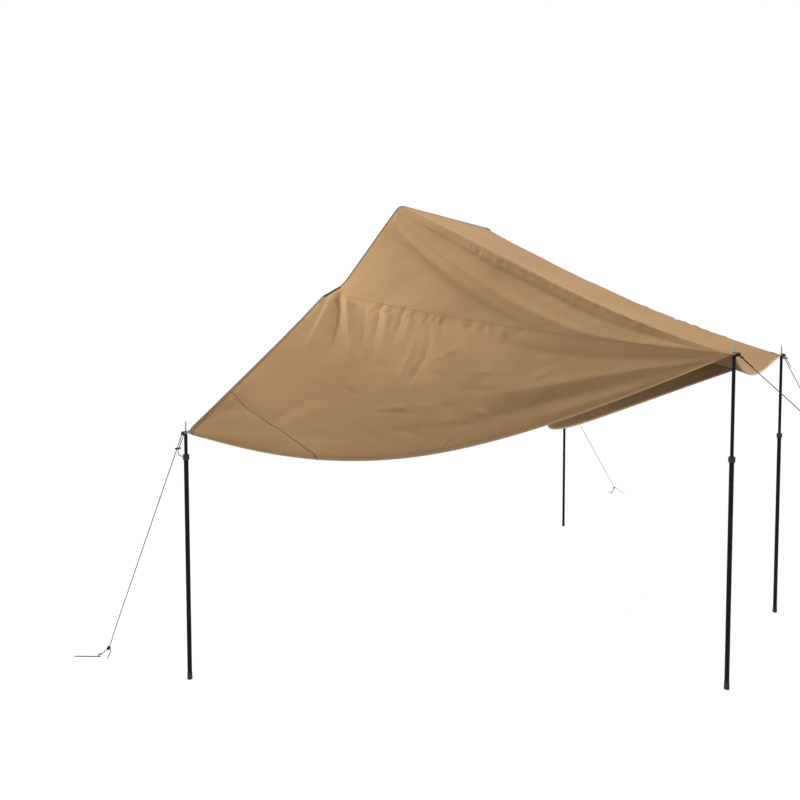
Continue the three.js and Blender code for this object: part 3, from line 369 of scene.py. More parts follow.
# Meshes from points and faces.
def mesh_piece(name, points, faces, finish, cut=None):
    """A new piece from its points and faces. cut gives each point its place on the flat cut."""
    mesh = bpy.data.meshes.new(name)
    mesh.from_pydata([tuple(p) for p in points], [], faces)
    mesh.update()
    if cut is not None:
        layer = mesh.uv_layers.new(name="cut")
        corners = np.empty(len(mesh.loops), np.int32)
        mesh.loops.foreach_get("vertex_index", corners)
        layer.data.foreach_set("uv", np.asarray(cut, np.float32)[corners].ravel())
    piece = bpy.data.objects.new(name, mesh)
    bpy.context.collection.objects.link(piece)
    mesh.materials.append(finishes[finish])
    return piece


def only(piece):
    bpy.ops.object.select_all(action="DESELECT")
    piece.select_set(True)
    bpy.context.view_layer.objects.active = piece


def finished(piece, kind, **settings):
    """Adds a modifier with its settings and applies it."""
    only(piece)
    added = piece.modifiers.new(kind.lower(), kind)
    for setting, value in settings.items():
        setattr(added, setting, value)
    bpy.ops.object.modifier_apply(modifier=added.name)


def smooth(piece, degrees=40.0):
    only(piece)
    bpy.ops.object.shade_smooth_by_angle(angle=math.radians(degrees))


def edit(piece):
    only(piece)
    bpy.ops.object.mode_set(mode="EDIT")


def turn_out(piece, weld=None):
    """Turns the faces out, after it welds points that lie closer than weld."""
    edit(piece)
    bpy.ops.mesh.select_all(action="SELECT")
    if weld:
        bpy.ops.mesh.remove_doubles(threshold=weld)
    bpy.ops.mesh.normals_make_consistent(inside=False)
    bpy.ops.object.mode_set(mode="OBJECT")


def dress(piece, slot_name, body, *nodes):
    """Gives a piece its body and hides the nodes that it stands for. slot_name is not used."""
    if nodes:
        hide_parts(*nodes)
    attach(piece, body)


def loft(name, rings, along, across, finish, degrees):
    """A closed tube through rings of points, with a cap at both ends and its places on the flat cut."""
    rows, count, _ = rings.shape
    faces = [tuple(reversed(range(count))), tuple(range((rows - 1) * count, rows * count))]
    for i in range(rows - 1):
        for j in range(count):
            k = (j + 1) % count
            faces.append((i * count + j, i * count + k, (i + 1) * count + k, (i + 1) * count + j))
    cut = places(along[:, None], across[None, :])
    piece = mesh_piece(name, rings.reshape(-1, 3), faces, finish, cut.reshape(-1, 2))
    turn_out(piece)
    smooth(piece, degrees)
    return piece


def swept(name, path, radius, sides, finish):
    """A round cord along a path, without a twist."""
    run = unit(np.gradient(path, axis=0))
    upright = (0, 0, 1.0) if abs(run[0][2]) < 0.9 else (1.0, 0, 0)
    side_ways = [unit(np.cross(run[0], upright))]
    for way in run[1:]:
        side_ways.append(unit(side_ways[-1] - way * np.dot(side_ways[-1], way)))
    side_ways = np.array(side_ways)
    out_ways = np.cross(run, side_ways)
    turns = np.arange(sides) * 2 * math.pi / sides
    section = np.stack([np.cos(turns), np.sin(turns)], axis=1) * radius
    rings = path[:, None] + side_ways[:, None] * section[:, :1] + out_ways[:, None] * section[:, 1:]
    return loft(name, rings, run_length(path), run_length(section), finish, 50)


# Cords: one smooth line through each route, then a round braid along it.
def strand_frame(key):
    """Where the two strands leave the spike's loop, and the ways out, across and down the line."""
    x, y, head = POLES[key]
    knot = np.array(PEG_KNOTS[key])
    out = unit([knot[0] - x, knot[1] - y, 0])
    across = np.array([-out[1], out[0], 0])
    middle = np.array([x, y, head + CORD_LIFT - STRAND_DROP]) + out * STRAND_OUT
    down = unit(knot - middle - across * STRAND_SPREAD / 2)
    return middle, out, across, down


def guy_route(key):
    """From the loose tail at the runner, round the spike, down to the peg and into the tail beyond it."""
    middle, out, across, down = strand_frame(key)
    knot, up, half = np.array(PEG_KNOTS[key]), np.array([0, 0, 1]), across * STRAND_SPREAD / 2
    run, reach, slack = RUNNER_DROPS[key], np.linalg.norm(knot - middle - half), key in WING_TAILS
    close = (0.014, 0.028, 0.044, run - 0.01) if slack else (0.014, run - 0.008)
    beyond = (run + 0.008, run + 0.018) if slack else (run + 0.008, run + 0.018, run + 0.036, run + 0.06)
    loose = [middle - half + down * far for far in reversed((*close, *beyond))]
    if slack:
        bends = ((0.014, 0.036, 0.016), (0.019, 0.024, 0.007), (0.015, 0.01, 0))
        tail = [loose[0] + down * a - out * b - up * c for a, b, c in bends]
    else:
        tail = [middle - half + down * (run + 0.078) + up * 0.0015 - across * 0.002]

    centre = middle - out * (STRAND_OUT - LOOP_OUT) + up * STRAND_DROP
    turns = np.radians((270, 225, 180, 135, 90))
    loop = [centre + (out * math.cos(turn) + across * math.sin(turn)) * STRAND_SPREAD / 2 for turn in turns]
    leave = out * 0.008 - up * 0.0006
    reaches = (*close, run + 0.012, run + 0.06, 0.35 * reach, 0.65 * reach, 0.9 * reach)
    taut = [loop[-1] + leave, *(middle + half + down * far for far in reaches)]
    for i, lift in enumerate(LOOP_LIFTS.get(key, ())):
        taut[i] = taut[i] + up * lift

    hook = np.array([*PEG_HOOKS[key][:2], HOOK_BEARING])
    pull = unit(knot - hook)
    way = WING_PEG_WAYS.get(key, pull)
    side = unit([-way[1], way[0], 0])
    side = side * np.sign(side @ across)
    half_bend = ((0.02, 0.008), (0.009, 0.0075), (0.0046, 0.0045), (0.0036, 0.0))
    bend = half_bend + tuple((a, -b) for a, b in half_bend[2::-1])
    peg_loop = [knot, knot - pull * 0.018 + side * 0.006]
    peg_loop += [hook + pull * a + side * b for a, b in bend]
    peg_loop += [knot - pull * 0.016 - side * 0.007, knot - side * 0.006 + pull * 0.002]
    if slack:
        end = WING_TAILS[key]
    else:
        start = knot - side * 0.024 + pull * 0.002
        falls = ((0.0, 0.0, 0.04), (0.008, 0.014, 0.014), (0.008, 0.042, 0.004))
        end = [(*(start - side * a - out * b)[:2], height) for a, b, height in falls]
    points = [*tail, *loose, loop[0] + leave, *loop, *taut, *peg_loop, *end]
    return np.array([[round(float(value), 4) for value in point] for point in points])


def smooth_line(points, finest):
    """A centripetal line through the points, with short steps in its bends and long ones on its runs."""
    ends = np.vstack([2 * points[0] - points[1], points, 2 * points[-1] - points[-2]])
    line = []
    for before, start, end, after in zip(ends, ends[1:], ends[2:], ends[3:]):
        legs = ((before, start), (start, end), (end, after))
        first, middle, last = (max(np.linalg.norm(b - a), 1e-6) ** 0.5 for a, b in legs)
        leave = (start - before) / first - (end - before) / (first + middle) + (end - start) / middle
        arrive = (end - start) / middle - (after - start) / (middle + last) + (after - end) / last
        leave, arrive = leave * middle, arrive * middle
        steps = int(np.clip(np.linalg.norm(end - start) / finest, 3, 12))
        for t in np.arange(steps) / steps:
            line.append(
                start * (1 - 3 * t**2 + 2 * t**3)
                + end * (3 * t**2 - 2 * t**3)
                + leave * (t - 2 * t**2 + t**3)
                + arrive * (t**3 - t**2)
            )
    line.append(points[-1])
    return np.array(line)


KNOT_TURNS, TUCK_STEPS = 4, 9


def wrap_knot(name, centre, axis, radius, thickness, length):
    """A knot: turns of cord drawn tight round a line, with its end tucked back across them."""
    side = unit(np.cross(axis, (0.3, 0.1, 1.0)))
    other = np.cross(axis, side)
    wound = np.linspace(0, 1, 16 * KNOT_TURNS + 1)
    tuck = np.arange(1, TUCK_STEPS)
    turn = np.concatenate([2 * math.pi * KNOT_TURNS * wound, 2 * math.pi * KNOT_TURNS + 0.35 * tuck])
    rise = length * np.concatenate([wound - 0.5, 0.5 - tuck / TUCK_STEPS])
    tucked = radius + thickness * 0.75 * np.sin(math.pi * tuck / TUCK_STEPS)
    reach = np.concatenate([np.full_like(wound, radius), tucked])
    round_line = np.outer(np.cos(turn), side) + np.outer(np.sin(turn), other)
    path = centre + np.outer(rise, axis) + round_line * reach[:, None]
    knot = swept(name, path, thickness / 2, 8, "knot")
    dress(knot, "guy_cord", "canopy")
    return knot


for key in POLES:
    route = guy_route(key)
    line = smooth_line(route, 0.0028)
    cord = swept(f"{key}_guy_cord", line, CORD_THICKNESS / 2, 10, "cord")
    dress(cord, "guy_cord", "canopy", f"{key}_guy_line")
    down = unit(np.array(PEG_KNOTS[key]) - POLES[key])
    knot = wrap_knot(f"{key}_peg_knot", np.array(PEG_KNOTS[key]), down, 0.0075, 0.0044, 0.02)


# The cloth: one surface. Its place along runs from the tent at 0 to the outer poles at 1. Its place across
# counts the panels: 0 near hem, 1 near seam, 2 near ridge, 3 far ridge, 4 far seam, 5 far hem.
APEX = (-0.826, 0.624, 2.887)
KNEE = (-1.302, 0.7, 2.344)
REAR = (-1.517, 0.7, 2.264)
SEAM_START = 0.36
CORNER_REACH = 0.028
MOUTH = 0.04
REAR_SHARE = 0.961
KNEE_SHARE = 0.168
ROOF_SAG = 0.055
CLOTH_THICKNESS = 0.0016
PATCH_REAR, PATCH_HEM = 0.23, 0.2125


def blend(a, b, share):
    return a + (b - a) * np.asarray(share)[..., None]


def hump(share, skew=0.0):
    """Zero at both ends and 1 at its peak, which a skew moves towards the start."""
    moved = share + skew * share * (1 - share)
    return 4 * moved * (1 - moved)


class Edge:
    """A line of the cloth between two corners, which hangs down and draws in, less its tabs' reach."""

    def __init__(self, start, end, drop, drop_skew=0.0, draw=0.0, draw_skew=0.0, tabs=(0, 0)):
        self.start, self.end, self.drop, self.drop_skew = start, end, drop, drop_skew
        self.draw, self.draw_skew = draw, draw_skew
        self.length = np.linalg.norm(end - start)
        self.low, self.high = tabs[0] * CORNER_REACH / self.length, 1 - tabs[1] * CORNER_REACH / self.length
        self.inward = unit([start[1] - end[1], end[0] - start[0], 0])

    def __call__(self, share):
        place = self.low + (self.high - self.low) * np.asarray(share, float)
        point = blend(self.start, self.end, place)
        point = point + self.inward * (self.draw * hump(place, self.draw_skew))[..., None]
        point[..., 2] -= self.drop * hump(place, self.drop_skew)
        return point


class Side:
    """One side of the cloth: a wing from hem to seam and an upper panel from seam to ridge."""

    def __init__(self, side, outer_x, ridge, hem):
        mirrored = np.array([1, side, 1])
        self.apex, self.knee, self.rear = (np.array(p) * mirrored for p in (APEX, KNEE, REAR))
        self.wing = np.array([WING_X, side * WING_Y, WING_HEAD + TAB_LIFT])
        self.outer = np.array([outer_x, side * OUTER_Y, OUTER_HEAD + TAB_LIFT])
        self.start = blend(self.rear, self.knee, SEAM_START)
        self.hem = Edge(self.wing, self.outer, *hem, -side * 0.737, 0.17, (1, 1))
        self.seam = Edge(self.start, self.outer, 0.042, tabs=(0, 1))
        self.ridge = Edge(self.apex, self.outer, *ridge, tabs=(0, 1))
        self.rear_hem = Edge(self.wing, self.rear, 0.004, 0.0, side * 0.006, 0.0, (1, 0))

    def rear_edge(self, across):
        none = np.zeros_like(across)
        mouth = blend(self.hem(none), self.rear_hem(none), across / MOUTH)
        rear = self.rear_hem(np.clip((across - MOUTH) / (REAR_SHARE - MOUTH), 0, 1))
        tent = blend(self.rear, self.start, (across - REAR_SHARE) / (1 - REAR_SHARE))
        on_cloth = np.where((across < REAR_SHARE)[..., None], rear, tent)
        return np.where((across < MOUTH)[..., None], mouth, on_cloth)

    def tent_edge(self, across):
        low = blend(self.start, self.knee, across / KNEE_SHARE)
        high = blend(self.knee, self.apex, (across - KNEE_SHARE) / (1 - KNEE_SHARE))
        return np.where((across < KNEE_SHARE)[..., None], low, high)

    def wing_place(self, along, across):
        none = np.zeros_like(along)
        point = blend(self.hem(along), self.seam(along), across)
        edge = self.rear_edge(across) - blend(self.hem(none), self.seam(none), across)
        return point + edge * ((1 - along) ** 3)[..., None]

    def upper_place(self, along, across):
        point = blend(self.seam(along), self.ridge(along), across)
        edge = self.tent_edge(across) - blend(self.start, self.apex, across)
        return point + edge * ((1 - along) ** 4)[..., None]


near = Side(-1, NEAR_OUTER_X, (0.06, -0.7), (0.404, 0.262))
far = Side(1, FAR_OUTER_X, (0.07, 0.0), (0.394, 0.407))
front = Edge(near.outer, far.outer, 0.126, 0.0, 0.04, -0.5, (1, 1))


def roof_place(along, across):
    point = blend(near.ridge(along), far.ridge(along), across)
    none, whole = np.zeros_like(across), np.ones_like(across)
    inner = front(np.clip((across - MOUTH) / (1 - 2 * MOUTH), 0, 1))
    start = blend(near.ridge(whole), front(none), across / MOUTH)
    end = blend(far.ridge(whole), front(whole), (1 - across) / MOUTH)
    edge = np.where((across < MOUTH)[..., None], start, np.where((across > 1 - MOUTH)[..., None], end, inner))
    edge = edge - blend(near.ridge(whole), far.ridge(whole), across)
    point = point + edge * (along**2)[..., None]
    point[..., 2] -= ROOF_SAG * hump(across) * hump(along)
    return point


def plain_place(along, across):
    """The tensioned surface, before its ridges are rounded and its folds are laid on."""
    along, across = np.broadcast_arrays(np.asarray(along, float), np.asarray(across, float))
    across = np.clip(across, 0, 5)
    panels = [
        near.wing_place(along, across),
        near.upper_place(along, across - 1),
        roof_place(along, across - 2),
        far.upper_place(along, 4 - across),
        far.wing_place(along, 5 - across),
    ]
    point = panels[4]
    for panel in (3, 2, 1, 0):
        point = np.where((across <= panel + 1)[..., None], panels[panel], point)
    return point


WIDTH_PLACES = np.linspace(0, 1, 41)
LEAST_WIDTH = 0.012
PANEL_EDGES = [plain_place(WIDTH_PLACES, float(line)) for line in range(6)]
WIDTHS = np.maximum(np.linalg.norm(np.diff(PANEL_EDGES, axis=0), axis=2), LEAST_WIDTH)


def width_at(along, panel):
    return np.interp(along, WIDTH_PLACES, WIDTHS[panel])


def stepped(along, across, step):
    """The place across that lies a step in metres further on."""
    widths = np.array([width_at(along, panel) for panel in range(5)])
    marks = np.concatenate([np.zeros((1, *along.shape)), np.cumsum(widths, axis=0)])
    panel = np.clip(across.astype(int), 0, 4)
    here = np.take_along_axis(marks, panel[None], 0)[0]
    here = here + (across - panel) * np.take_along_axis(widths, panel[None], 0)[0]
    edge = np.minimum(here, marks[5] - here)
    there = here + np.sign(step) * np.minimum(abs(step), 0.4 * edge)
    return sum(np.clip((there - marks[i]) / widths[i], 0, 1) for i in range(5))


def rounded_place(along, across):
    """The surface with its ridges, seams and knees rolled over a small radius."""
    along, across = np.broadcast_arrays(np.asarray(along, float), np.asarray(across, float))
    reach = 0.012 + 0.016 * (1 - np.clip(along, 0, 1)) ** 4
    total = 3 * plain_place(along, across)
    for taps, weight in ((-2, 1), (-1, 2), (1, 2), (2, 1)):
        total = total + weight * plain_place(along, stepped(along, across, taps * reach))
    return total / 9


def normal_at(along, across):
    """The way out of the cloth."""
    slope = 2e-3
    down = rounded_place(along + slope, across) - rounded_place(along - slope, across)
    low, high = np.clip(across - slope, 0, 5), np.clip(across + slope, 0, 5)
    return unit(np.cross(down, rounded_place(along, high) - rounded_place(along, low)))


# The folds: each is a line of (along, across, height, width) rows, all in thousandths. The first counts the
# way along the cloth, the second the panels across it, and the last two metres. A height above zero stands
# out of the cloth, and one below is a hollow.
FOLDS = [
    # The tension fold of the upper panel, with the hollows above and below it.
    [(8, 1930, 3, 16), (25, 1880, 9, 24), (72, 1840, 20, 32), (125, 1805, 27, 38), (203, 1755, 32, 42),
     (270, 1695, 35, 46), (388, 1575, 35, 48), (525, 1415, 30, 46), (620, 1280, 24, 42),
     (700, 1120, 17, 36), (840, 1060, 8, 26), (960, 1050, 1, 12)],
    [(50, 1965, -4, 20), (122, 1945, -12, 26), (212, 1925, -17, 32), (300, 1910, -21, 36),
     (420, 1885, -26, 42), (565, 1840, -27, 44), (680, 1760, -22, 40), (840, 1620, -13, 30),
     (960, 1400, -1, 14)],
    [(95, 1925, -2, 12), (145, 1935, -7, 12), (200, 1950, -7, 12), (270, 1965, -1, 12)],
    # The roll along the ridge and the hollow just below it.
    [(10, 1990, 4, 20), (80, 1967, 12, 30), (150, 1966, 17, 34), (250, 1977, 17, 32),
     (500, 1986, 18, 30), (800, 1980, 12, 24), (970, 1970, 1, 10)],
    [(160, 1965, -2, 13), (300, 1955, -8, 17), (500, 1945, -12, 19), (700, 1935, -10, 18),
     (880, 1910, -6, 14), (965, 1880, -1, 10)],
    [(60, 1760, -4, 30), (140, 1710, -11, 38), (273, 1570, -16, 45), (393, 1440, -19, 46),
     (500, 1290, -18, 42), (600, 1150, -13, 34), (680, 1040, -6, 30)],
    # The rear edge curls in a little.
    [(3, 250, -2, 14), (3, 400, -6, 19), (3, 750, -6, 19), (3, 930, -1, 12)],
    [(30, 1670, 4, 80), (100, 1450, 8, 100), (170, 1200, 3, 100)],
    # The folds that hang from the strap and the seam.
    [(32, 1030, -8, 16), (42, 985, -30, 22), (67, 900, -50, 30), (90, 785, -46, 36),
     (105, 680, -26, 40), (108, 600, -9, 45), (105, 500, 0, 50)],
    [(65, 1010, 6, 18), (90, 940, 20, 26), (125, 820, 26, 34), (150, 725, 18, 38), (180, 620, 6, 50)],
    [(15, 975, 6, 16), (36, 880, 14, 26), (54, 740, 14, 34), (66, 600, 8, 45), (75, 460, 1, 60)],
    [(8, 985, -6, 12), (26, 910, -15, 20), (42, 770, -10, 28), (50, 600, -1, 40)],
    [(140, 970, -4, 12), (160, 860, -12, 18), (172, 760, -14, 20), (182, 660, -6, 24)],
    [(152, 850, 3, 16), (158, 740, 8, 20), (170, 640, 3, 24)],
    [(200, 720, -1, 18), (210, 665, -12, 16), (223, 570, -9, 18), (230, 500, -1, 22)],
    [(183, 998, -11, 12), (193, 910, -17, 17), (212, 760, -12, 22), (228, 650, -5, 26),
     (235, 570, 0, 30)],
    [(205, 990, 8, 14), (222, 900, 14, 20), (238, 760, 9, 26), (250, 660, 1, 35)],
    [(253, 998, -10, 12), (260, 900, -14, 18), (262, 820, -8, 22), (264, 720, -1, 28)],
    [(278, 990, 5, 18), (288, 900, 10, 26), (290, 780, 4, 34)],
    [(325, 985, -8, 13), (340, 920, -6, 20), (357, 800, -9, 22), (358, 690, -15, 22),
     (348, 570, -17, 18), (343, 500, -7, 16), (340, 450, -1, 20)],
    [(318, 800, 4, 24), (320, 690, 11, 24), (316, 570, 10, 22), (318, 480, 1, 24)],
    [(372, 970, -5, 12), (385, 860, -4, 20), (390, 740, -1, 30)],
    [(420, 970, 5, 40), (450, 850, 12, 60), (490, 600, 14, 80), (500, 400, 6, 110)],
    # The corner patch: a hollow and a roll that both start at the pole, and the pull across its seam.
    [(3, 50, -4, 14), (15, 160, -14, 35), (43, 210, -18, 45), (70, 190, -14, 40), (98, 150, -10, 30),
     (112, 210, -10, 24), (125, 275, -7, 28), (152, 345, -1, 40)],
    [(115, 130, 3, 30), (140, 220, 7, 35), (170, 300, 2, 50)],
    [(7, 25, 4, 14), (50, 50, 12, 35), (122, 85, 12, 50), (180, 100, 4, 70)],
    [(0, 100, 3, 14), (6, 220, 12, 40), (20, 360, 10, 60), (35, 520, 2, 90)],
    # Short wrinkles low on the wing.
    [(195, 430, -1, 18), (210, 420, -7, 14), (228, 410, -6, 13), (240, 400, 0, 14)],
    [(200, 455, 1, 18), (215, 450, 6, 17), (235, 440, 1, 18)],
    [(290, 300, -1, 18), (307, 310, -7, 16), (340, 318, -8, 16), (367, 315, -5, 16), (390, 310, 0, 18)],
    [(300, 335, 1, 18), (335, 345, 6, 18), (370, 340, 1, 18)],
    [(150, 115, -1, 26), (170, 120, -7, 22), (205, 130, -8, 22), (235, 135, -6, 22), (260, 140, 0, 26)],
    # The long soft folds that run on to the outer pole.
    [(500, 200, -4, 60), (620, 250, -13, 55), (700, 290, -16, 45), (800, 290, -14, 36),
     (865, 290, -9, 30), (970, 200, -1, 13)],
    [(650, 120, 3, 50), (725, 135, 9, 45), (820, 160, 10, 35), (907, 170, 6, 25), (970, 200, 1, 12)],
    [(550, 860, -4, 40), (640, 810, -14, 36), (750, 770, -14, 32), (860, 750, -10, 25),
     (965, 635, -1, 12)],
    [(540, 430, 4, 50), (660, 460, 13, 45), (770, 500, 15, 36), (870, 520, 10, 26), (968, 450, 1, 12)],
    # The pull of the outer pole in the roof.
    [(990, 2050, 1, 12), (900, 2160, 6, 30), (760, 2260, 7, 50), (550, 2340, 2, 80)],
    [(990, 2100, -1, 12), (930, 2300, -6, 40), (860, 2500, -4, 70)],
]
FOLDS = [thousandths(fold) for fold in FOLDS]


def short_creases(seed, count):
    """Small creases: some hang from the long seam, some from the ridge, and some cross the open cloth."""
    draw = np.random.default_rng(seed)
    creases = []
    for kind in ("seam", "ridge", "open") * count:
        if kind == "open":
            along, across = draw.uniform(0.1, 0.7), draw.uniform(0.15, 0.8)
            turn, reach = draw.uniform(-0.9, 0.9), draw.uniform(0.02, 0.05)
            step_along, step_across = reach * math.cos(turn), 1.6 * reach * math.sin(turn)
            height, width = draw.choice([-1, 1]) * draw.uniform(0.0035, 0.0072), draw.uniform(0.018, 0.03)
        else:
            along = draw.uniform(0.15, 0.62) if kind == "seam" else draw.uniform(0.26, 0.86)
            reach = draw.uniform(0.015, 0.05)
            across = (0.985 if kind == "seam" else 1.97) - reach
            step_along, step_across = draw.uniform(-0.006, 0.008), -reach
            height, width = draw.choice([-1, 1]) * draw.uniform(0.004, 0.0095), draw.uniform(0.008, 0.016)
        creases.append([
            (along - step_along, across - step_across, 0.2 * height, width),
            (along, across, height, width),
            (along + step_along, across + step_across, 0.0, 1.3 * width),
        ])
    return creases


def spine_of(fold):
    """A fold's places in space, with its height and width at each."""
    rows = np.array(fold)
    stops = np.arange(len(rows))
    fine = np.linspace(0, len(rows) - 1, 4 * (len(rows) - 1) + 1)
    along, across, height, width = (np.interp(fine, stops, rows[:, k]) for k in range(4))
    return rounded_place(along, across), height, width


def fold_relief(points, spines):
    """How far the folds lift each point."""
    flat = points.reshape(-1, 3)
    relief = np.zeros(len(flat))
    for spine, height, width in spines:
        margin = 2.6 * width.max()
        low, high = spine.min(axis=0) - margin, spine.max(axis=0) + margin
        close = np.nonzero(np.all((flat > low) & (flat < high), axis=1))[0]
        if not len(close):
            continue
        near_points = flat[close]
        best = np.zeros(len(close))
        for i in range(len(spine) - 1):
            leg = spine[i + 1] - spine[i]
            t = np.clip(((near_points - spine[i]) @ leg) / max(leg @ leg, 1e-12), 0, 1)
            away = np.linalg.norm(near_points - spine[i] - t[:, None] * leg, axis=1)
            lift = height[i] + (height[i + 1] - height[i]) * t
            wide = width[i] + (width[i + 1] - width[i]) * t
            here = lift * np.exp(-((away / wide) ** 1.6))
            best = np.where(abs(here) > abs(best), here, best)
        relief[close] += best
    return relief.reshape(points.shape[:-1])


def mirrored_folds(folds):
    """The far side's folds: the same kind at slightly other places."""
    made = []
    for n, fold in enumerate(folds):
        shift = 0.012 * math.sin(2.4 * n + 1.0)
        gain = 1 + 0.25 * math.sin(1.7 * n)
        made.append([(a + shift * (0.05 < a < 0.9), 5 - c, h * gain, w) for a, c, h, w in fold])
    return made


NEAR_FOLDS = FOLDS + short_creases(11, 40)
FAR_FOLDS = mirrored_folds(FOLDS + short_creases(23, 40))
SPINES = [spine_of(fold) for fold in NEAR_FOLDS + FAR_FOLDS]


def ripples(along, across):
    """An uneven pull all over the cloth."""
    length = along * 3.0
    slow = np.sin(5.1 * length + 2.3 * across) * np.sin(3.7 * across + 1.9 * length)
    quick = np.sin(13.7 * length + 7.1 * across) * np.sin(9.3 * across - 6.1 * length)
    return (0.0026 * slow + 0.0014 * quick) * hump(np.clip(along, 0, 1))


def surface(along, across):
    """The finished surface of the cloth and its way out."""
    along, across = np.broadcast_arrays(np.asarray(along, float), np.asarray(across, float))
    point, normal = rounded_place(along, across), normal_at(along, across)
    lift = fold_relief(point, SPINES) + ripples(along, across)
    return point + normal * lift[..., None], normal


# The grid is finer where the folds hang: near the tent, and just below the long seams.
ROW_STOPS = ((0.0, 0), (0.44, 112), (1.0, 198))
WING_STOPS = ((0.0, 0), (0.12, 10), (0.5, 44), (1.0, 84))
UPPER_STOPS = ((0.0, 0), (0.55, 20), (1.0, 54))
FAR_WING_STOPS = ((0.0, 0), (0.12, 8), (1.0, 52))
FAR_UPPER_STOPS = ((0.0, 0), (1.0, 30))
ROOF_COLUMNS = 28


def spread(stops):
    """Places between the stops' shares, as many to each stretch as the stops' counts say."""
    shares, counts = zip(*stops)
    return np.interp(np.arange(counts[-1] + 1), counts, shares)


def cloth_columns():
    near_side = np.concatenate([spread(WING_STOPS), 1 + spread(UPPER_STOPS)[1:]])
    far_side = np.concatenate([spread(FAR_WING_STOPS), 1 + spread(FAR_UPPER_STOPS)[1:]])
    roof = 2 + np.linspace(0, 1, ROOF_COLUMNS + 1)
    return np.concatenate([near_side, roof[1:-1], 5 - far_side[::-1]])


def grid_faces(rows, columns):
    return [
        (i * columns + j, (i + 1) * columns + j, (i + 1) * columns + j + 1, i * columns + j + 1)
        for i in range(rows - 1)
        for j in range(columns - 1)
    ]


def flat_cut(points):
    """Each point's place on the flat cloth: the length run along it and the width run across it."""
    return np.stack([run_length(points, 0), run_length(points, 1)], axis=2).reshape(-1, 2)


along_rows = spread(ROW_STOPS)
across_columns = cloth_columns()
cloth_points, _ = surface(along_rows[:, None], across_columns[None, :])
canopy_cloth = mesh_piece(
    "canopy_cloth",
    cloth_points.reshape(-1, 3),
    grid_faces(len(along_rows), len(across_columns)),
    "canvas",
    flat_cut(cloth_points),
)
# The inside of the cloth gets the darker tan, which is painted shade.
canopy_cloth.data.materials.append(finishes["canvas_inside_shaded"])
finished(
    canopy_cloth,
    "SOLIDIFY",
    thickness=CLOTH_THICKNESS,
    offset=0,
    use_even_offset=False,
    material_offset=1,
    material_offset_rim=0,
)
smooth(canopy_cloth, 60)
pairs = ("upper_panel", "wing_panel", "wing_corner")
panels = [f"{side}_{part}" for part in pairs for side in ("near", "far")]
dress(canopy_cloth, "canvas", "canopy", "roof_panel", *panels)


def add_trim(piece, slot_name, *nodes):
    dress(piece, slot_name, "canopy", *nodes)


def on_side(rows, side):
    """Near-side places, or the same on the far side."""
    return places(rows[:, 0], 5 - rows[:, 1]) if side == "far" else rows


# How far a band's outer rim and its inner fold are rounded over, in metres of its width.
BAND_RIM, BAND_FOLD = 0.0025, 0.0012


def add_band(side, kind, outer, inner, half, finish, slot_name, *nodes):
    """A folded edge band between two rows of (along, across) places, with a rounded outer rim."""
    outer, inner = on_side(outer, side), on_side(inner, side)
    outer_points, normals = surface(outer[:, 0], outer[:, 1])
    inner_points, _ = surface(inner[:, 0], inner[:, 1])
    ways = inner_points - outer_points
    widths = np.linalg.norm(ways, axis=1)
    ways = unit(ways)
    outs = unit(np.cross(unit(np.gradient(outer_points, axis=0)), ways))
    outs = outs * np.sign((outs * normals).sum(1))[:, None]
    rings = []
    for point, way, out, w in zip(outer_points, ways, outs, widths):
        top = [(w, 0.6), (w - BAND_FOLD, 1), (0.66 * w, 1.05), (0.33 * w, 1.05), (BAND_RIM, 1), (0.0, 0.45)]
        section = [*top, *((s, -o) for s, o in reversed(top))]
        rings.append([point + way * s + out * (o * half) for s, o in section])
    across = np.array([1, 0.94, 0.66, 0.33, 0.1, 0, 0, 0.1, 0.33, 0.66, 0.94, 1]) * np.median(widths)
    length = run_length(outer_points)
    piece = loft(f"{side}_{kind}", np.array(rings), length, across, finish, 60)
    add_trim(piece, slot_name, *(f"{side}_{node}" for node in nodes))


def add_strap(side, kind, outer, inner, lift, thickness, *nodes):
    """A strap that lies on the outside of the cloth between two rows of places."""
    rows = []
    for row in (on_side(outer, side), on_side(inner, side)):
        points, normals = surface(row[:, 0], row[:, 1])
        rows.append(points + normals * lift)
    points = np.stack([rows[0] + (rows[1] - rows[0]) * t for t in np.linspace(0, 1, 5)], axis=1)
    faces = grid_faces(len(outer), 5)
    piece = mesh_piece(f"{side}_{kind}", points.reshape(-1, 3), faces, "webbing", flat_cut(points))
    finished(piece, "SOLIDIFY", thickness=thickness, offset=0)
    smooth(piece, 50)
    add_trim(piece, "webbing", *(f"{side}_{node}" for node in nodes))


# Widths and half thicknesses of the bands. The spans turn a width along the cloth into a share of it.
HEM, HEM_HALF = 0.02, 0.0021
SEAM_HALF, SEAM_THICK = 0.005, 0.0015
TAPE, TAPE_HALF = 0.01, 0.0024
REAR_SPAN, FRONT_SPAN, TENT_SPAN, STRAP_SPAN, PATCH_SPAN = 3.1, 2.7, 2.9, 3.0, 3.3
STRAP, APEX_STRAP, STRAP_START = 0.025, 0.04, 0.0006

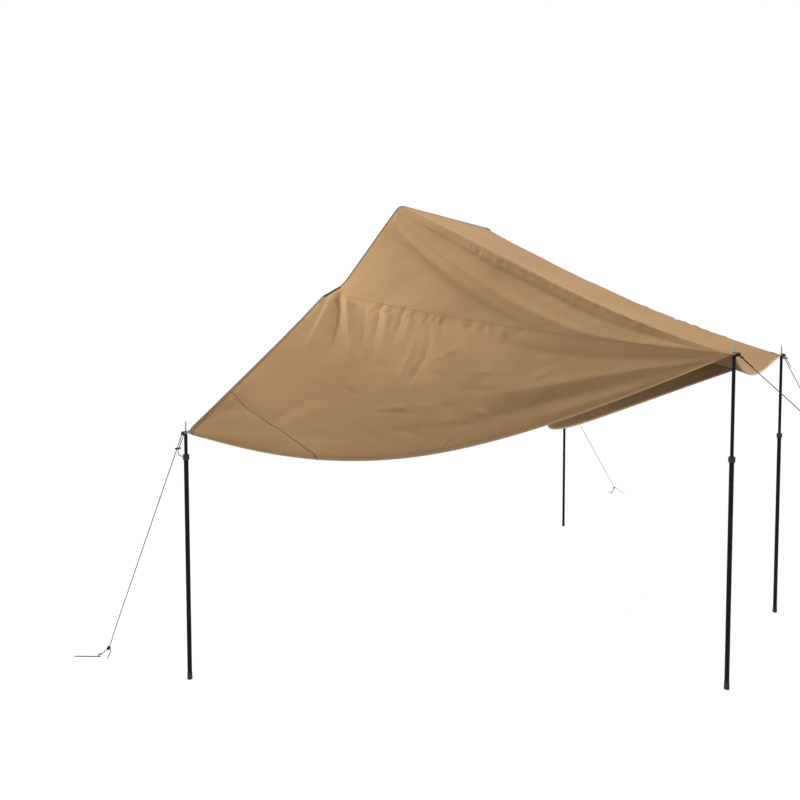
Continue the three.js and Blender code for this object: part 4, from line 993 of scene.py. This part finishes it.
for side, wing, upper in (("near", 0, 1), ("far", 4, 3)):
    along = np.linspace(0, 1, 261)
    share = np.minimum(HEM / width_at(along, wing), 0.5)
    hem = (HEM_HALF, "hem", "bound_canvas", "hem")
    add_band(side, "hem_band", places(along, 0), places(along, share), *hem)

    across = np.concatenate([np.linspace(0.002, MOUTH, 6)[:-1], np.linspace(MOUTH, REAR_SHARE, 120)])
    rear_hem = (HEM_HALF, "rear_hem", "bound_canvas", "rear_hem")
    add_band(side, "rear_band", places(0, across), places(HEM / REAR_SPAN, across), *rear_hem)

    # The felled seams: the long seam and the ridge.
    along = np.linspace(0.004, 1, 241)
    for kind, line, below, above in (("long_seam", 1, wing, upper), ("ridge_seam", 2, upper, 2)):
        low, high = (np.minimum(SEAM_HALF / width_at(along, panel), 0.3) for panel in (below, above))
        rows = places(along, line - low), places(along, line + high)
        add_band(side, kind, *rows, SEAM_THICK, "seam", "canvas")

mouth = np.linspace(0, MOUTH, 5)[:-1]
across = 2 + np.concatenate([mouth, np.linspace(MOUTH, 1 - MOUTH, 101), 1 - mouth[::-1]])
rows = places(1, across), places(1 - HEM / FRONT_SPAN, across)
add_band("front", "hem_band", *rows, HEM_HALF, "hem", "bound_canvas", "hem")

across = np.linspace(REAR_SHARE, 5 - REAR_SHARE, 421)
rows = places(0, across), places(TAPE / TENT_SPAN, across)
add_band("tent", "edge_tape", *rows, TAPE_HALF, "tape", "webbing", "edge_binding")

across = np.linspace(REAR_SHARE + 0.002, 1 + 0.7 * KNEE_SHARE, 40)
rows = places(STRAP_START, across), places(STRAP / STRAP_SPAN, across)
for side in ("near", "far"):
    add_strap(side, "edge_webbing", *rows, 0.0042, 0.0016, "edge_strap")
across = np.linspace(2.045, 1.95, 16)
rows = places(STRAP_START, across), places(APEX_STRAP / STRAP_SPAN, across)
add_strap("far", "apex_webbing", *rows, 0.0058, 0.003)


def patch_line(edges):
    """Where the plane through the patch seam's ends cuts the wing, from the rear edge to the hem."""
    start, end = edges.rear_hem(np.array(PATCH_REAR)), edges.hem(np.array(PATCH_HEM))
    face = unit(np.cross(end - edges.wing, start - edges.wing))
    across_seam = unit(np.cross(unit(end - start), face))
    found = []
    tries = np.linspace(0, 0.42, 421)
    for across in np.linspace(MOUTH + (REAR_SHARE - MOUTH) * PATCH_REAR, 0.0, 70):
        off = (edges.wing_place(tries, np.full_like(tries, across)) - start) @ across_seam
        change = np.nonzero(np.sign(off[:-1]) != np.sign(off[1:]))[0]
        if len(change):
            i = change[0]
            found.append((tries[i] + (tries[i + 1] - tries[i]) * off[i] / (off[i] - off[i + 1]), across))
    return np.array(found)


# The seam of the corner patch and the short dart at the hem.
for side, edges in (("near", near), ("far", far)):
    line, half = patch_line(edges), np.array([SEAM_HALF / PATCH_SPAN, 0])
    rows = np.maximum(line - half, 0), line + half
    add_band(side, "patch_seam", *rows, 0.0028, "thread_and_shade_seam", "canvas")
    dart, half = places(np.linspace(0.473, 0.49, 16), np.linspace(0.01, 0.105, 16)), np.array([0.0012, 0])
    add_band(side, "dart_seam", dart - half, dart + half, 0.0013, "thread_and_shade_seam", "canvas")


# The corners: a doubled patch over each corner of the cloth, and the tab with the eyelet's hole.
TAB_HOLE, TAB_FLAT, TAB_BACK, TAB_THICKNESS = 0.0068, 0.0116, 0.0135, 0.0028
PATCH_REACH, PATCH_LIFT, PATCH_THICKNESS = 0.055, 0.0017, 0.0012


def corner_lines(key):
    """The lines from a corner's rim over the cloth, each from one (along, across) place to another."""
    k, j = np.linspace(0, 1, 15), np.linspace(0, 1, 8)
    if "wing" in key:
        rim = places(0, MOUTH * k)
        ends = places((1 - k) * PATCH_REACH / 3.4, k * (MOUTH + PATCH_REACH / 2.0))
    else:
        k = k[:-1]
        rim = np.concatenate([places(1, 2 * k), places(1, 2 + MOUTH * j)])
        roof_ends = places(1 - (1 - j) * PATCH_REACH / 2.8, 2 + j * (MOUTH + PATCH_REACH / 1.5))
        ends = np.concatenate([places(1 - PATCH_REACH / 3.0, 2 * k), roof_ends])
    lines = np.stack([rim, ends], axis=1)
    if key.startswith("far"):
        lines[..., 1] = 5 - lines[..., 1]
    return lines


def corner_patch(key):
    x, y, head = POLES[key]
    level = head + TAB_LIFT
    lines = corner_lines(key)
    rim, _ = surface(lines[:, 0, 0], lines[:, 0, 1])
    order = np.unwrap(np.arctan2(rim[:, 1] - y, rim[:, 0] - x))
    if order[-1] < order[0]:
        lines, rim, order = lines[::-1], rim[::-1], order[::-1]
    reach, height = np.hypot(rim[:, 0] - x, rim[:, 1] - y), rim[:, 2] - level
    back = np.linspace(order[-1], order[0] + 2 * math.pi, 26)[1:-1]
    from_last, to_first = back - order[-1], order[0] + 2 * math.pi - back
    near_end = np.where(from_last < to_first, -1, 0)
    drop = np.clip(1 - np.minimum(from_last, to_first) / 0.9, 0, 1) ** 2
    turns = np.concatenate([order, back])
    full_reach = np.concatenate([reach, TAB_BACK + (reach[near_end] - TAB_BACK) * drop])
    full_height = np.concatenate([height, height[near_end] * drop])
    hole, flat = np.full_like(turns, TAB_HOLE), np.full_like(turns, TAB_FLAT)
    rings = []
    for here in (hole, flat, 0.5 * (TAB_FLAT + full_reach), full_reach):
        share = np.clip((here - TAB_FLAT) / np.maximum(full_reach - TAB_FLAT, 1e-6), 0, 1)
        ring = [x + here * np.cos(turns), y + here * np.sin(turns), level + full_height * share]
        rings.append(np.stack(ring, axis=1))
    points = np.concatenate(rings)
    count = len(turns)
    faces = [
        (r * count + j, (r + 1) * count + j, (r + 1) * count + (j + 1) % count, r * count + (j + 1) % count)
        for r in range(3)
        for j in range(count)
    ]
    tab = mesh_piece(f"{key}_corner_patch", points, faces, "patch", points[:, :2] - (x, y))
    finished(tab, "SOLIDIFY", thickness=TAB_THICKNESS, offset=0)
    steps = np.linspace(0, 1, 9)
    grid = lines[:, 0] + (lines[:, 1] - lines[:, 0]) * steps[:, None, None]
    skin, normals = surface(grid[..., 0], grid[..., 1])
    cut = places(np.linspace(0, 0.2, len(lines)), (steps * PATCH_REACH)[:, None]).reshape(-1, 2)
    # The inner layer of the patch gets the darker tan, which is painted shade.
    for layer, lift, finish in (("outer", PATCH_LIFT, "patch"), ("inner", -PATCH_LIFT, "canvas_inside_shaded")):
        layer_points = (skin + normals * lift).reshape(-1, 3)
        faces = grid_faces(len(steps), len(lines))
        over = mesh_piece(f"{key}_patch_{layer}", layer_points, faces, finish, cut)
        finished(over, "SOLIDIFY", thickness=PATCH_THICKNESS, offset=0)
        only(tab)
        over.select_set(True)
        bpy.ops.object.join()
    turn_out(tab)
    smooth(tab, 45)
    return tab


for key in POLES:
    add_trim(corner_patch(key), "bound_canvas", f"{key}_corner_tab")


# Round hardware, raised ring by ring with extrusions.
def settled(piece, finish, degrees=35.0):
    """Leaves edit mode, moves the place into the mesh, turns the faces out and gives the finish."""
    bpy.ops.object.mode_set(mode="OBJECT")
    only(piece)
    bpy.ops.object.transform_apply(location=True, rotation=True, scale=True)
    turn_out(piece, weld=0.00001)
    piece.data.materials.clear()
    piece.data.materials.append(finishes[finish])
    smooth(piece, degrees)
    return piece


def turned(name, place, rows, sides, finish, ring=False):
    """A round piece from rows of (radius, height) above its place. A ring's last row meets its first,
    and any other piece is closed with a flat cap at both ends."""
    x, y, foot = place
    rows = [*rows, rows[0]] if ring else rows
    radius, height = rows[0]
    bpy.ops.object.select_all(action="DESELECT")
    bpy.ops.mesh.primitive_circle_add(
        vertices=sides,
        radius=radius,
        location=(x, y, foot + height),
        fill_type="NOTHING" if ring else "NGON",
    )
    piece = bpy.context.object
    piece.name = piece.data.name = name
    edit(piece)
    bpy.ops.mesh.select_all(action="SELECT")
    for (before, low), (after, high) in zip(rows, rows[1:]):
        bpy.ops.mesh.extrude_region_move(TRANSFORM_OT_translate={"value": (0, 0, high - low)})
        scale = after / before
        bpy.ops.transform.resize(value=(scale, scale, 1), center_override=(x, y, foot + high))
    return settled(piece, finish)


def copied(piece, name, place):
    """A copy with its own mesh, moved from the first pole's place to another."""
    only(piece)
    bpy.ops.object.duplicate()
    made = bpy.context.object
    made.name = made.data.name = name
    bpy.ops.transform.translate(value=place)
    bpy.ops.object.transform_apply(location=True, rotation=False, scale=False)
    return made


TUBE_WALL = 0.0012
UPPER_RADIUS, UPPER_LENGTH = 0.00925, 1.15
LOWER_RADIUS = 0.0125
LOWER_FOOT, LOWER_TOP = 0.0043, 1.2424
COLLAR_FOOT, GRIP_LOW, GRIP_HIGH = 1.235, 0.0056, 0.0236
TUBE_EDGE = 0.0003
SPIKE_SEAT = 0.0023


def tube_rows(radius, low, high):
    """A tube with small rounded edges at both ends."""
    bore, edge, third = radius - TUBE_WALL, TUBE_EDGE, 0.33 * (high - low)
    outside = [(radius, low + edge), (radius, low + third), (radius, high - third), (radius, high - edge)]
    top = [(radius - edge, high), (bore + edge, high), (bore, high - edge)]
    return [(bore, low + edge), (bore + edge, low), (radius - edge, low), *outside, *top]


# Rows of (radius, height), in millimetres here and in metres after thousandths().
SPIKE_ROWS = thousandths([
    (6.9, -32), (7.75, -31), (7.75, -24), (7.1, -23.2), (7.1, -21.2), (7.75, -20.4), (7.75, -2),
    (8.9, -2), (9.25, -1.65), (9.25, -0.4), (8.8, 0), (5.2, 0), (4.1, 0.4), (3.6, 1.3), (3.5, 2.5),
    (3.5, 30), (3.5, 57.5), (3.3, 59.2), (2.2, 64.5), (1.4, 67.2), (0.7, 68),
])
EYELET_RIM = thousandths([
    (3.9, 2.7), (4.3, 3.1), (5.2, 3.3), (7.5, 3.2), (9.8, 2.8), (10.8, 2.4), (11, 2.1), (10.6, 2),
    (5.9, 2),
])
EYELET_ROWS = EYELET_RIM + [(radius, -height) for radius, height in reversed(EYELET_RIM)]
FOOT_ROWS = thousandths([
    (3, 1), (5.5, 1), (6, 0), (8.2, 0), (8.7, 1), (9.6, 1), (10.1, 0), (12.2, 0), (13.4, 0.6),
    (14.3, 1.8), (14.6, 3.5), (14.5, 9), (14.1, 22), (13.9, 26.2), (13.4, 26.8), (13.4, 28.2),
    (13.85, 28.8), (13.8, 32.8), (13.4, 33.4), (13.4, 34.8), (13.8, 35.4), (13.8, 38.5), (13.4, 39.8),
    (13.1, 40), (12.8, 39.5), (12.8, 4), (3, 4),
])
COLLAR_ROWS = thousandths([
    (14.3, 0), (16.6, 0), (17.6, 0.6), (18, 1.6), (18, 3.4), (17.4, 4), (17.4, 5), (17.1, 5.6),
    (17.1, 23.6), (17.4, 24.2), (17.4, 25.2), (18, 25.8), (18, 28.2), (17.6, 29.2), (16.4, 30),
    (10.4, 30), (10, 29.6), (10, 25), (14.3, 25),
])
COLLAR_SIDES = 72


def lock_collar(name, place):
    """The twist collar: two in three of its grip's faces stand out as ribs between grooves."""
    x, y, foot = place
    piece = turned(name, place, COLLAR_ROWS, COLLAR_SIDES, "plastic", ring=True)
    edit(piece)
    bpy.ops.mesh.select_mode(type="FACE")
    bpy.ops.mesh.select_all(action="DESELECT")
    bpy.ops.object.mode_set(mode="OBJECT")
    for face in piece.data.polygons:
        middle = face.center
        outside = math.hypot(middle.x - x, middle.y - y) > 0.0165
        turn = math.atan2(middle.y - y, middle.x - x) % (2 * math.pi)
        step = int(turn / (2 * math.pi) * COLLAR_SIDES) % 3
        face.select = outside and GRIP_LOW < middle.z - foot < GRIP_HIGH and step != 2
    bpy.ops.object.mode_set(mode="EDIT")
    bpy.ops.mesh.inset(thickness=0.00035, depth=0.0009)
    bpy.ops.mesh.select_mode(type="VERT")
    return settled(piece, "plastic", 30)


def place_hardware():
    """Makes each round piece at the near wing's pole and copies it to the other three."""
    x, y, head = POLES["near_wing"]
    foot, collar, eyelet = (x, y, 0), (x, y, COLLAR_FOOT), (x, y, head + TAB_LIFT)
    lower = tube_rows(LOWER_RADIUS, LOWER_FOOT, LOWER_TOP)
    upper = tube_rows(UPPER_RADIUS, -SPIKE_SEAT - UPPER_LENGTH, -SPIKE_SEAT)
    first = {
        "foot_cup": turned("near_wing_foot_cup", foot, FOOT_ROWS, 48, "rubber"),
        "lower_pole": turned("near_wing_lower_pole", foot, lower, 48, "pole", ring=True),
        "twist_collar": lock_collar("near_wing_twist_collar", collar),
        "head_pin": turned("near_wing_head_pin", (x, y, head), SPIKE_ROWS, 32, "zinc"),
        "upper_pole": turned("near_wing_upper_pole", (x, y, head), upper, 48, "pole", ring=True),
        "rolled_eyelet": turned("near_wing_rolled_eyelet", eyelet, EYELET_ROWS, 40, "zinc", ring=True),
    }
    parts = {
        "foot_cup": ("foot", "leg", "foot_rubber"),
        "lower_pole": ("lower_tube", "leg", "pole_steel"),
        "twist_collar": ("lock_collar", "lock_nut", "black_plastic"),
        "head_pin": ("spike", "", "zinc_steel"),
        "upper_pole": ("upper_tube", "", "pole_steel"),
        "rolled_eyelet": ("eyelet", "", "zinc_steel"),
    }
    for key, (to_x, to_y, to_head) in POLES.items():
        for kind, (node, body, slot_name) in parts.items():
            rise = 0.0 if body else to_head - head
            piece = first[kind]
            if key != "near_wing":
                piece = copied(piece, f"{key}_{kind}", (to_x - x, to_y - y, rise))
            dress(piece, slot_name, f"{key}_{body}" if body else "canopy", f"{key}_{node}")
        sleeve = bpy.data.objects[f"{key}_lock_sleeve"]
        sleeve.data.materials.clear()
        sleeve.data.materials.append(finishes["plastic"])


place_hardware()


# The runners: flat bars with a hole for each strand.
RUNNER_LENGTH, RUNNER_WIDTH, RUNNER_THICKNESS = 0.045, 0.011, 0.005
STRAND_HOLE = 0.00235


def arc(x, radius, start, end, steps):
    """Points on an arc around a place on the bar's long axis."""
    turns = np.linspace(start, end, steps + 1)
    return [(x + radius * math.cos(turn), radius * math.sin(turn)) for turn in turns]


def runner_bar(name):
    """A flat bar with round ends: its outline and holes are filled, raised and then softened."""
    half, quarter = (RUNNER_LENGTH - RUNNER_WIDTH) / 2, math.pi / 2
    outline = arc(half, RUNNER_WIDTH / 2, -quarter, quarter, 12)
    outline += arc(-half, RUNNER_WIDTH / 2, quarter, 3 * quarter, 12)
    holes = [arc(side * STRAND_SPREAD / 2, STRAND_HOLE, 0, 4 * quarter, 24)[:-1] for side in (-1, 1)]
    curve = bpy.data.curves.new(name, "CURVE")
    curve.dimensions, curve.fill_mode = "2D", "BOTH"
    curve.extrude = RUNNER_THICKNESS / 2
    for loop in (outline, *holes):
        spline = curve.splines.new("POLY")
        spline.points.add(len(loop) - 1)
        for point, (x, y) in zip(spline.points, loop):
            point.co = (x, y, 0, 1)
        spline.use_cyclic_u = True
    drawn = bpy.data.objects.new(name, curve)
    bpy.context.collection.objects.link(drawn)
    only(drawn)
    bpy.ops.object.convert(target="MESH")
    bar = bpy.context.object
    bar.data.name = name
    turn_out(bar, weld=0.000001)
    finished(bar, "BEVEL", width=0.0006, segments=3, limit_method="ANGLE")
    return bar


# Above each runner, close to the spike, a dark knot holds the two strands together.
for key in POLES:
    middle, _, across, down = strand_frame(key)
    bar = runner_bar(f"{key}_slide_bar")
    turn = Matrix([*np.array([across, np.cross(down, across), down]).T]).to_4x4()
    bar.matrix_world = Matrix.Translation(middle + down * RUNNER_DROPS[key]) @ turn
    settled(bar, "plastic", 40)
    dress(bar, "black_plastic", f"{key}_tensioner", f"{key}_runner")
    wrap_knot(f"{key}_head_knot", middle + down * 0.011, down, 0.0102, 0.0042, 0.015)


# The pegs: round rods with a point, which end in a bent hook.
PEG_LENGTH, PEG_HOOK, PEG_LOW, PEG_TIP = 0.165, 0.009, 0.0033, 0.0006
PEG_ROWS = [(0.0014, 0.003), (0.003, 0.018), (0.003, 0.09), (0.003, PEG_LENGTH)]


def ground_peg(name, place, degrees):
    bpy.ops.object.select_all(action="DESELECT")
    bpy.ops.mesh.primitive_circle_add(
        vertices=16,
        radius=PEG_TIP,
        location=(-PEG_LENGTH, 0, PEG_LOW),
        rotation=(0, math.pi / 2, 0),
        fill_type="NGON",
    )
    peg = bpy.context.object
    peg.name = peg.data.name = name
    bpy.ops.object.transform_apply(location=True, rotation=True, scale=True)
    edit(peg)
    bpy.ops.mesh.select_all(action="SELECT")
    radius, run = PEG_TIP, 0.0
    for after, far in PEG_ROWS:
        bpy.ops.mesh.extrude_region_move(TRANSFORM_OT_translate={"value": (far - run, 0, 0)})
        scale = after / radius
        bpy.ops.transform.resize(value=(1, scale, scale), center_override=(far - PEG_LENGTH, 0, PEG_LOW))
        radius, run = after, far
    bpy.ops.mesh.spin(
        steps=20,
        angle=math.radians(245),
        center=(0, 0, PEG_LOW + PEG_HOOK),
        axis=(0, -1, 0),
    )
    bpy.ops.object.mode_set(mode="OBJECT")
    peg.matrix_world = Matrix.Translation((*place, 0)) @ Matrix.Rotation(math.radians(degrees), 4, "Z")
    return settled(peg, "peg_steel", 40)


for key, (x, y, degrees) in PEG_HOOKS.items():
    dress(ground_peg(f"{key}_ground_peg", (x, y), degrees), "zinc_steel", "canopy", f"{key}_peg")


# The studio: a pale floor that fades to white in the camera's view, white surroundings and soft lamps.
FLOOR_SIZE, FLOOR_LOW, FLOOR_GREY = 90, 0.0005, 0.45
FLOOR_GLOW, FLOOR_FADE = 1.16, 0.82
WORLD_LIGHT = 0.54
# Each lamp's place, the place that it lights, its size and its power in watts.
LAMPS = {
    "high_lamp": ((2.0, -1.0, 7.0), (0.0, -0.8, 1.8), 2.2, 178),
    "side_lamp": ((-3.1, -2.3, 2.3), (-0.4, -1.0, 2.1), 1.1, 82),
}


def add_floor():
    bpy.ops.object.select_all(action="DESELECT")
    bpy.ops.mesh.primitive_plane_add(size=FLOOR_SIZE, location=(0, 0, -FLOOR_LOW))
    floor = bpy.context.object
    floor.name = "studio_floor"
    finish = Finish("studio_floor", (FLOOR_GREY,) * 3, 0.9)
    glow = finish.node("ShaderNodeEmission", {}, {"Strength": FLOOR_GLOW})
    plain = Value(finish, finish.shader.outputs[0])
    mix = finish.node("ShaderNodeMixShader", {}, [finish.seen() * FLOOR_FADE, plain, glow])
    finish.plug(finish.nodes["Material Output"].inputs["Surface"], mix)
    floor.data.materials.append(finish.material)


def add_world():
    world = bpy.data.worlds.new("studio_white")
    bpy.context.scene.world = world
    world.use_nodes = True
    sky = Nodes(world.node_tree)
    values = {"Value": sky.seen(), "To Min": WORLD_LIGHT, "To Max": 1.0}
    background = sky.nodes["Background"]
    sky.plug(background.inputs["Strength"], sky.node("ShaderNodeMapRange", {}, values))
    background.inputs["Color"].default_value = (1, 1, 1, 1)


def add_lamps():
    for name, (place, target, size, power) in LAMPS.items():
        lamp = bpy.data.objects.new(name, bpy.data.lights.new(name, "AREA"))
        lamp.data.size = size
        lamp.data.energy = power
        way = Vector(target) - Vector(place)
        lamp.matrix_world = Matrix.Translation(place) @ way.to_track_quat("-Z", "Y").to_matrix().to_4x4()
        lamp.visible_camera = False
        bpy.context.collection.objects.link(lamp)


add_floor()
add_world()
add_lamps()
bpy.context.scene.view_settings.view_transform = "Standard"
